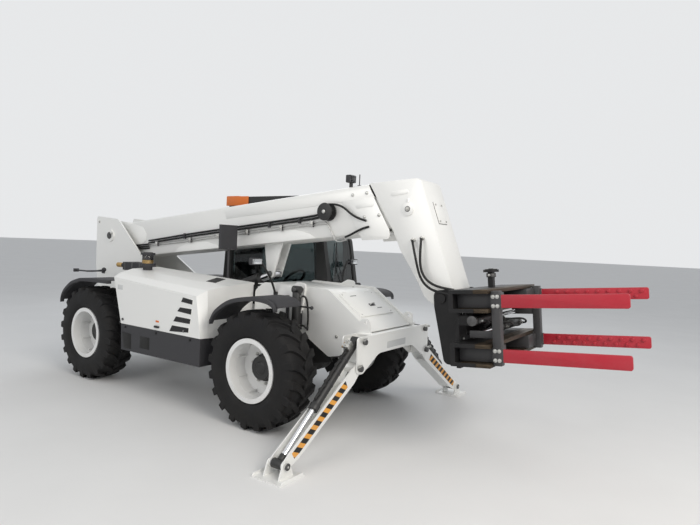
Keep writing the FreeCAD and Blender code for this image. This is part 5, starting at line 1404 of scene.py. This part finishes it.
def make_seat():
    """Stuffed cushion and back on a pedestal with a shell, armrest, belt buckle and slides."""
    cushion = block((1.165, 1.64), (0.575, 1.005), (1.135, 1.215), 0.03)
    cushion = stuffed(cushion, 0.012)
    back = plate([(1.065, 1.245), (1.16, 1.245), (1.115, 1.885), (1.015, 1.885)], 0.585, 0.995, "xz", 0.032)
    back = stuffed(back, 0.012)
    for obj, name in ((cushion, "seat_cushion"), (back, "seat_back")):
        dress(obj, "seat_cloth")
        obj = finish_piece(name, [obj], "chassis")
    shell = plate([(1.03, 1.2), (1.062, 1.215), (1.01, 1.88), (0.985, 1.87)], 0.58, 1.0, "xz", 0.008)
    shapes = [dress(shell, "black_plastic"), dress(block((1.17, 1.63), (0.585, 0.995), (1.105, 1.13), 0.008),
        "black_plastic"), dress(block((1.23, 1.56), (0.64, 0.94), (0.745, 1.0), 0.012), "black_paint")]
    for k in range(6):
        z = 1.0 + 0.018 * k
        put(shapes, "floor_rubber", (block, (1.245, 1.545), (0.655, 0.925), (z, z + 0.015), 0.006))
    for y in (0.665, 0.915):
        put(shapes, "zinc", (block, (1.18, 1.62), about(y, 0.012), (1.096, 1.108), 0.002))
    put(shapes, "black_plastic", (block, (1.09, 1.12), (1.004, 1.03), (1.19, 1.29), 0.005))
    put(shapes, "marker_orange", (block, (1.098, 1.112), (1.006, 1.028), (1.284, 1.296), 0.002))
    put(shapes, "black_plastic", (block, (1.1, 1.42), (1.01, 1.04), (1.4, 1.43), 0.012))
    put(shapes, "dark_steel", (bar, (1.075, 0.995, 1.41), (1.125, 1.025, 1.415), 0.014, 20))
    obj = finish_piece("seat_pedestal", shapes, "chassis")
    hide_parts("seat")


def make_lift_trim():
    """Ports, a steel line and its clamps on the lift cylinder."""
    place = slope_frame((0.4, 0.86), math.atan2(0.7, 1.95))
    shapes = []
    for u in (0.2, 1.1):
        put(shapes, "dark_steel", (block, about(u, 0.025), (-0.022, 0.022), (0.078, 0.112), 0.004))
        put(shapes, "zinc", (bar, (u, 0.0, 0.11), (u, 0.0, 0.132), 0.015, 6, 0.001))
    put(shapes, "steel_line", (bar, (0.22, 0.0, 0.122), (1.08, 0.0, 0.122), 0.009, 16))
    for u in (0.45, 0.75):
        put(shapes, "zinc", (turned, [(u - 0.01, 0.0852), (u - 0.01, 0.0885), (u + 0.01, 0.0885),
            (u + 0.01, 0.0852)], 48, "X"), (block, about(u, 0.01), (-0.014, 0.014), (0.086, 0.134), 0.002))
    finish_piece("lift_cylinder_trim", shapes, "lift_barrel", place)


# stage
def make_stage(look):
    bpy.ops.mesh.primitive_plane_add(size=300.0, location=(0.0, 0.0, -0.0005))
    floor = settle(bpy.context.object)
    floor.name = "studio_floor"
    tree, shader = new_finish("studio_floor")
    shade = spread(tree, noise(tree, 0.8, 4.0), 0.3, 0.7)
    tree.links.new(mixed(tree, shade, (0.74, 0.74, 0.735), (0.77, 0.77, 0.765)), shader.inputs["Base Color"])
    shader.inputs["Roughness"].default_value = 0.85
    dress(floor, "studio_floor")
    world = bpy.data.worlds.new("studio")
    bpy.context.scene.world = world
    world.use_nodes = True
    tree = world.node_tree
    tree.nodes.clear()
    path = tree.nodes.new("ShaderNodeLightPath")
    seen = times(tree, path.outputs["Is Camera Ray"], path.outputs["Is Glossy Ray"], "ADD")
    seen = times(tree, seen, path.outputs["Is Transmission Ray"], "ADD")
    backdrop = tree.nodes.new("ShaderNodeBackground")
    backdrop.inputs["Color"].default_value = (0.8, 0.81, 0.82, 1.0)
    light = tree.nodes.new("ShaderNodeBackground")
    light.inputs["Color"].default_value = (0.93, 0.96, 1.0, 1.0)
    light.inputs["Strength"].default_value = look.sky_level
    choose = tree.nodes.new("ShaderNodeMixShader")
    tree.links.new(seen, choose.inputs["Fac"])
    tree.links.new(light.outputs["Background"], choose.inputs[1])
    tree.links.new(backdrop.outputs["Background"], choose.inputs[2])
    out = tree.nodes.new("ShaderNodeOutputWorld")
    tree.links.new(choose.outputs["Shader"], out.inputs["Surface"])
    lamps = (("key_softbox", (9.0, -3.5, 6.5), 5.0, look.key_power, (1.0, 0.95, 0.88)),
        ("side_softbox", (-1.0, -9.5, 6.0), 6.0, look.key_power * 0.36, (1.0, 0.98, 0.95)),
        ("far_softbox", (-6.0, 7.5, 7.0), 6.0, look.key_power * 0.3, (0.92, 0.96, 1.0)))
    for name, place, size, power, colour in lamps:
        lamp = bpy.data.lights.new(name, "AREA")
        lamp.shape = "SQUARE"
        lamp.size = size
        lamp.energy = power
        lamp.color = colour
        obj = bpy.data.objects.new(name, lamp)
        bpy.context.collection.objects.link(obj)
        aim = Vector((0.6, 0.0, 1.0)) - Vector(place)
        obj.matrix_world = Matrix.Translation(place) @ aim.to_track_quat("-Z", "Y").to_matrix().to_4x4()
    camera = bpy.data.cameras.new("camera")
    camera.sensor_width = 36.0
    camera.lens = look.lens
    camera.clip_end = 200.0
    obj = bpy.data.objects.new("camera", camera)
    bpy.context.collection.objects.link(obj)
    yaw, pitch, roll = (math.radians(a) for a in (34.545, 1.85, 2.518))
    ahead = Vector((-math.sin(yaw) * math.cos(pitch), math.cos(yaw) * math.cos(pitch), -math.sin(pitch)))
    right = Vector((math.cos(yaw), math.sin(yaw), 0.0))
    over = right.cross(ahead)
    side = math.cos(roll) * right + math.sin(roll) * over
    top = -math.sin(roll) * right + math.cos(roll) * over
    turn = Matrix((side, top, -ahead)).transposed().to_4x4()
    obj.matrix_world = Matrix.Translation((7.045 + REAR_AXLE_X, -5.136, 1.965)) @ turn
    bpy.context.scene.camera = obj
    bpy.context.scene.view_settings.view_transform = "Standard"


# add-on
class TELEHANDLER_Look(bpy.types.PropertyGroup):
    """Colours and sizes that a user may change."""

    body_white: bpy.props.FloatVectorProperty(
        name="Body white", description="Paint on the boom, frame and hood", subtype="COLOR",
        default=(0.80, 0.80, 0.79), min=0.0, max=1.0)
    trim_black: bpy.props.FloatVectorProperty(
        name="Trim black", description="Paint on the cab, axles and cylinders", subtype="COLOR",
        default=(0.009, 0.009, 0.010), min=0.0, max=1.0)
    arm_red: bpy.props.FloatVectorProperty(
        name="Arm red", description="Paint on the clamp arms", subtype="COLOR",
        default=(0.42, 0.012, 0.028), min=0.0, max=1.0)
    stripe_amber: bpy.props.FloatVectorProperty(
        name="Stripe amber", description="Light bars of the hazard stripes", subtype="COLOR",
        default=(0.78, 0.34, 0.03), min=0.0, max=1.0)
    dust: bpy.props.FloatVectorProperty(
        name="Dust", description="Dust that settles near the ground", subtype="COLOR",
        default=(0.46, 0.43, 0.39), min=0.0, max=1.0)
    glass_tint: bpy.props.FloatVectorProperty(
        name="Glass tint", description="Tint of the cab windows", subtype="COLOR",
        default=(0.24, 0.28, 0.28), min=0.0, max=1.0)
    lug_count: bpy.props.IntProperty(
        name="Lugs a side", description="Tread lugs on each half of a tyre", default=20, min=8, max=40)
    lug_width: bpy.props.FloatProperty(
        name="Lug width", description="Width of a tread lug along the tyre", default=0.096,
        unit="LENGTH", min=0.02, max=0.2)
    lug_sweep: bpy.props.FloatProperty(
        name="Lug sweep", description="How far a lug runs back from the middle to the shoulder",
        default=0.150, unit="LENGTH", min=0.0, max=0.4)
    key_power: bpy.props.FloatProperty(
        name="Key power", description="Power of the largest softbox", default=580.0, unit="POWER",
        min=0.0)
    sky_level: bpy.props.FloatProperty(
        name="Sky level", description="Strength of the even light all round", default=0.53, min=0.0,
        max=2.0)
    lens: bpy.props.FloatProperty(
        name="Lens", description="Focal length of the camera", default=27.775, unit="CAMERA", min=10.0,
        max=200.0)


class TELEHANDLER_OT_finishes(bpy.types.Operator):
    """Makes every finish and puts them on the CAD nodes"""

    bl_idname = "telehandler.finishes"
    bl_label = "Finishes"

    def execute(self, context):
        make_finishes(context.scene.telehandler_look)
        paint_cad_nodes()
        return {"FINISHED"}


class TELEHANDLER_OT_tyres(bpy.types.Operator):
    """Builds the four lugged tyres"""

    bl_idname = "telehandler.tyres"
    bl_label = "Tyres"

    def execute(self, context):
        for end in AXLES:
            for side, tag in ((1, "left"), (-1, "right")):
                make_tyre(context.scene.telehandler_look, "treaded_tyre_%s_%s" % (end, tag), end, side)
        return {"FINISHED"}


class TELEHANDLER_OT_hubs(bpy.types.Operator):
    """Builds the hubs, nuts, ribs and valves of the wheels"""

    bl_idname = "telehandler.hubs"
    bl_label = "Wheel hubs"

    def execute(self, context):
        for end in AXLES:
            for side in (1, -1):
                make_hub(end, side)
        return {"FINISHED"}


class TELEHANDLER_OT_boom(bpy.types.Operator):
    """Builds the boom's outer and moving sections with the head"""

    bl_idname = "telehandler.boom"
    bl_label = "Boom"

    def execute(self, context):
        make_boom_outer()
        make_boom_inner()
        return {"FINISHED"}


class TELEHANDLER_OT_boom_lines(bpy.types.Operator):
    """Builds the lines, hoses and lamps on the boom and its head"""

    bl_idname = "telehandler.boom_lines"
    bl_label = "Boom lines"

    def execute(self, context):
        make_boom_lines()
        make_head_hoses()
        return {"FINISHED"}


class TELEHANDLER_OT_clamp(bpy.types.Operator):
    """Builds the clamp's rails, cylinders, swivel and arms"""

    bl_idname = "telehandler.clamp"
    bl_label = "Clamp"

    def execute(self, context):
        make_clamp_frame()
        make_arms(1)
        make_arms(-1)
        return {"FINISHED"}


class TELEHANDLER_OT_stabilisers(bpy.types.Operator):
    """Builds the stripes, pins and cylinder parts of both stabilisers"""

    bl_idname = "telehandler.stabilisers"
    bl_label = "Stabilisers"

    def execute(self, context):
        for side in (1, -1):
            make_leg_trim(side)
            make_leg_cylinder(side)
        return {"FINISHED"}


class TELEHANDLER_OT_fenders(bpy.types.Operator):
    """Builds the fender plates"""

    bl_idname = "telehandler.fenders"
    bl_label = "Fenders"

    def execute(self, context):
        make_fenders()
        return {"FINISHED"}


class TELEHANDLER_OT_hood_trim(bpy.types.Operator):
    """Builds the grilles, latches and blank plates of the hood"""

    bl_idname = "telehandler.hood_trim"
    bl_label = "Hood trim"

    def execute(self, context):
        make_hood_trim()
        return {"FINISHED"}


class TELEHANDLER_OT_fittings(bpy.types.Operator):
    """Builds lamps, mirror glass, filter bands and the rear marker"""

    bl_idname = "telehandler.fittings"
    bl_label = "Fittings"

    def execute(self, context):
        make_fittings()
        return {"FINISHED"}


class TELEHANDLER_OT_tower_trim(bpy.types.Operator):
    """Builds the pivot pins, bolts and feed hoses of the tower"""

    bl_idname = "telehandler.tower_trim"
    bl_label = "Tower trim"

    def execute(self, context):
        make_tower_trim()
        make_lift_trim()
        return {"FINISHED"}


class TELEHANDLER_OT_front_trim(bpy.types.Operator):
    """Builds the levelling cylinders and the front frame's fittings"""

    bl_idname = "telehandler.front_trim"
    bl_label = "Front trim"

    def execute(self, context):
        make_front_trim()
        make_deck()
        make_lamps()
        return {"FINISHED"}


class TELEHANDLER_OT_axle_trim(bpy.types.Operator):
    """Builds the steering gear of both axles"""

    bl_idname = "telehandler.axle_trim"
    bl_label = "Axle trim"

    def execute(self, context):
        make_axle_trim()
        return {"FINISHED"}


class TELEHANDLER_OT_cab_trim(bpy.types.Operator):
    """Builds the cab's seals, handles, dashboard and levers"""

    bl_idname = "telehandler.cab_trim"
    bl_label = "Cab trim"

    def execute(self, context):
        make_cab_trim()
        return {"FINISHED"}


class TELEHANDLER_OT_seat(bpy.types.Operator):
    """Builds the stuffed seat on its pedestal"""

    bl_idname = "telehandler.seat"
    bl_label = "Seat"

    def execute(self, context):
        make_seat()
        return {"FINISHED"}


class TELEHANDLER_OT_stage(bpy.types.Operator):
    """Builds the floor, the backdrop, the softboxes and the camera"""

    bl_idname = "telehandler.stage"
    bl_label = "Stage"

    def execute(self, context):
        make_stage(context.scene.telehandler_look)
        return {"FINISHED"}


OPERATORS = (
    TELEHANDLER_OT_finishes, TELEHANDLER_OT_tyres, TELEHANDLER_OT_hubs, TELEHANDLER_OT_boom,
    TELEHANDLER_OT_boom_lines, TELEHANDLER_OT_clamp, TELEHANDLER_OT_stabilisers,
    TELEHANDLER_OT_fenders, TELEHANDLER_OT_hood_trim, TELEHANDLER_OT_fittings,
    TELEHANDLER_OT_tower_trim, TELEHANDLER_OT_front_trim, TELEHANDLER_OT_axle_trim,
    TELEHANDLER_OT_cab_trim, TELEHANDLER_OT_seat, TELEHANDLER_OT_stage,
)


class TELEHANDLER_PT_panel(bpy.types.Panel):
    """Lists the machine's sizes, colours and builders"""

    bl_idname = "TELEHANDLER_PT_panel"
    bl_label = "Telehandler"
    bl_space_type = "VIEW_3D"
    bl_region_type = "UI"
    bl_category = "Telehandler"

    def draw(self, context):
        for name in TELEHANDLER_Look.__annotations__:
            self.layout.prop(context.scene.telehandler_look, name)
        for operator in OPERATORS:
            self.layout.operator(operator.bl_idname)


def register():
    for part in (TELEHANDLER_Look, *OPERATORS, TELEHANDLER_PT_panel):
        bpy.utils.register_class(part)
    bpy.types.Scene.telehandler_look = bpy.props.PointerProperty(type=TELEHANDLER_Look)


def unregister():
    del bpy.types.Scene.telehandler_look
    for part in reversed((TELEHANDLER_Look, *OPERATORS, TELEHANDLER_PT_panel)):
        bpy.utils.unregister_class(part)


def main():
    register()
    clear_selection()
    for operator in OPERATORS:
        group, action = operator.bl_idname.split(".")
        getattr(getattr(bpy.ops, group), action)()


if __name__ == "__main__":
    main()
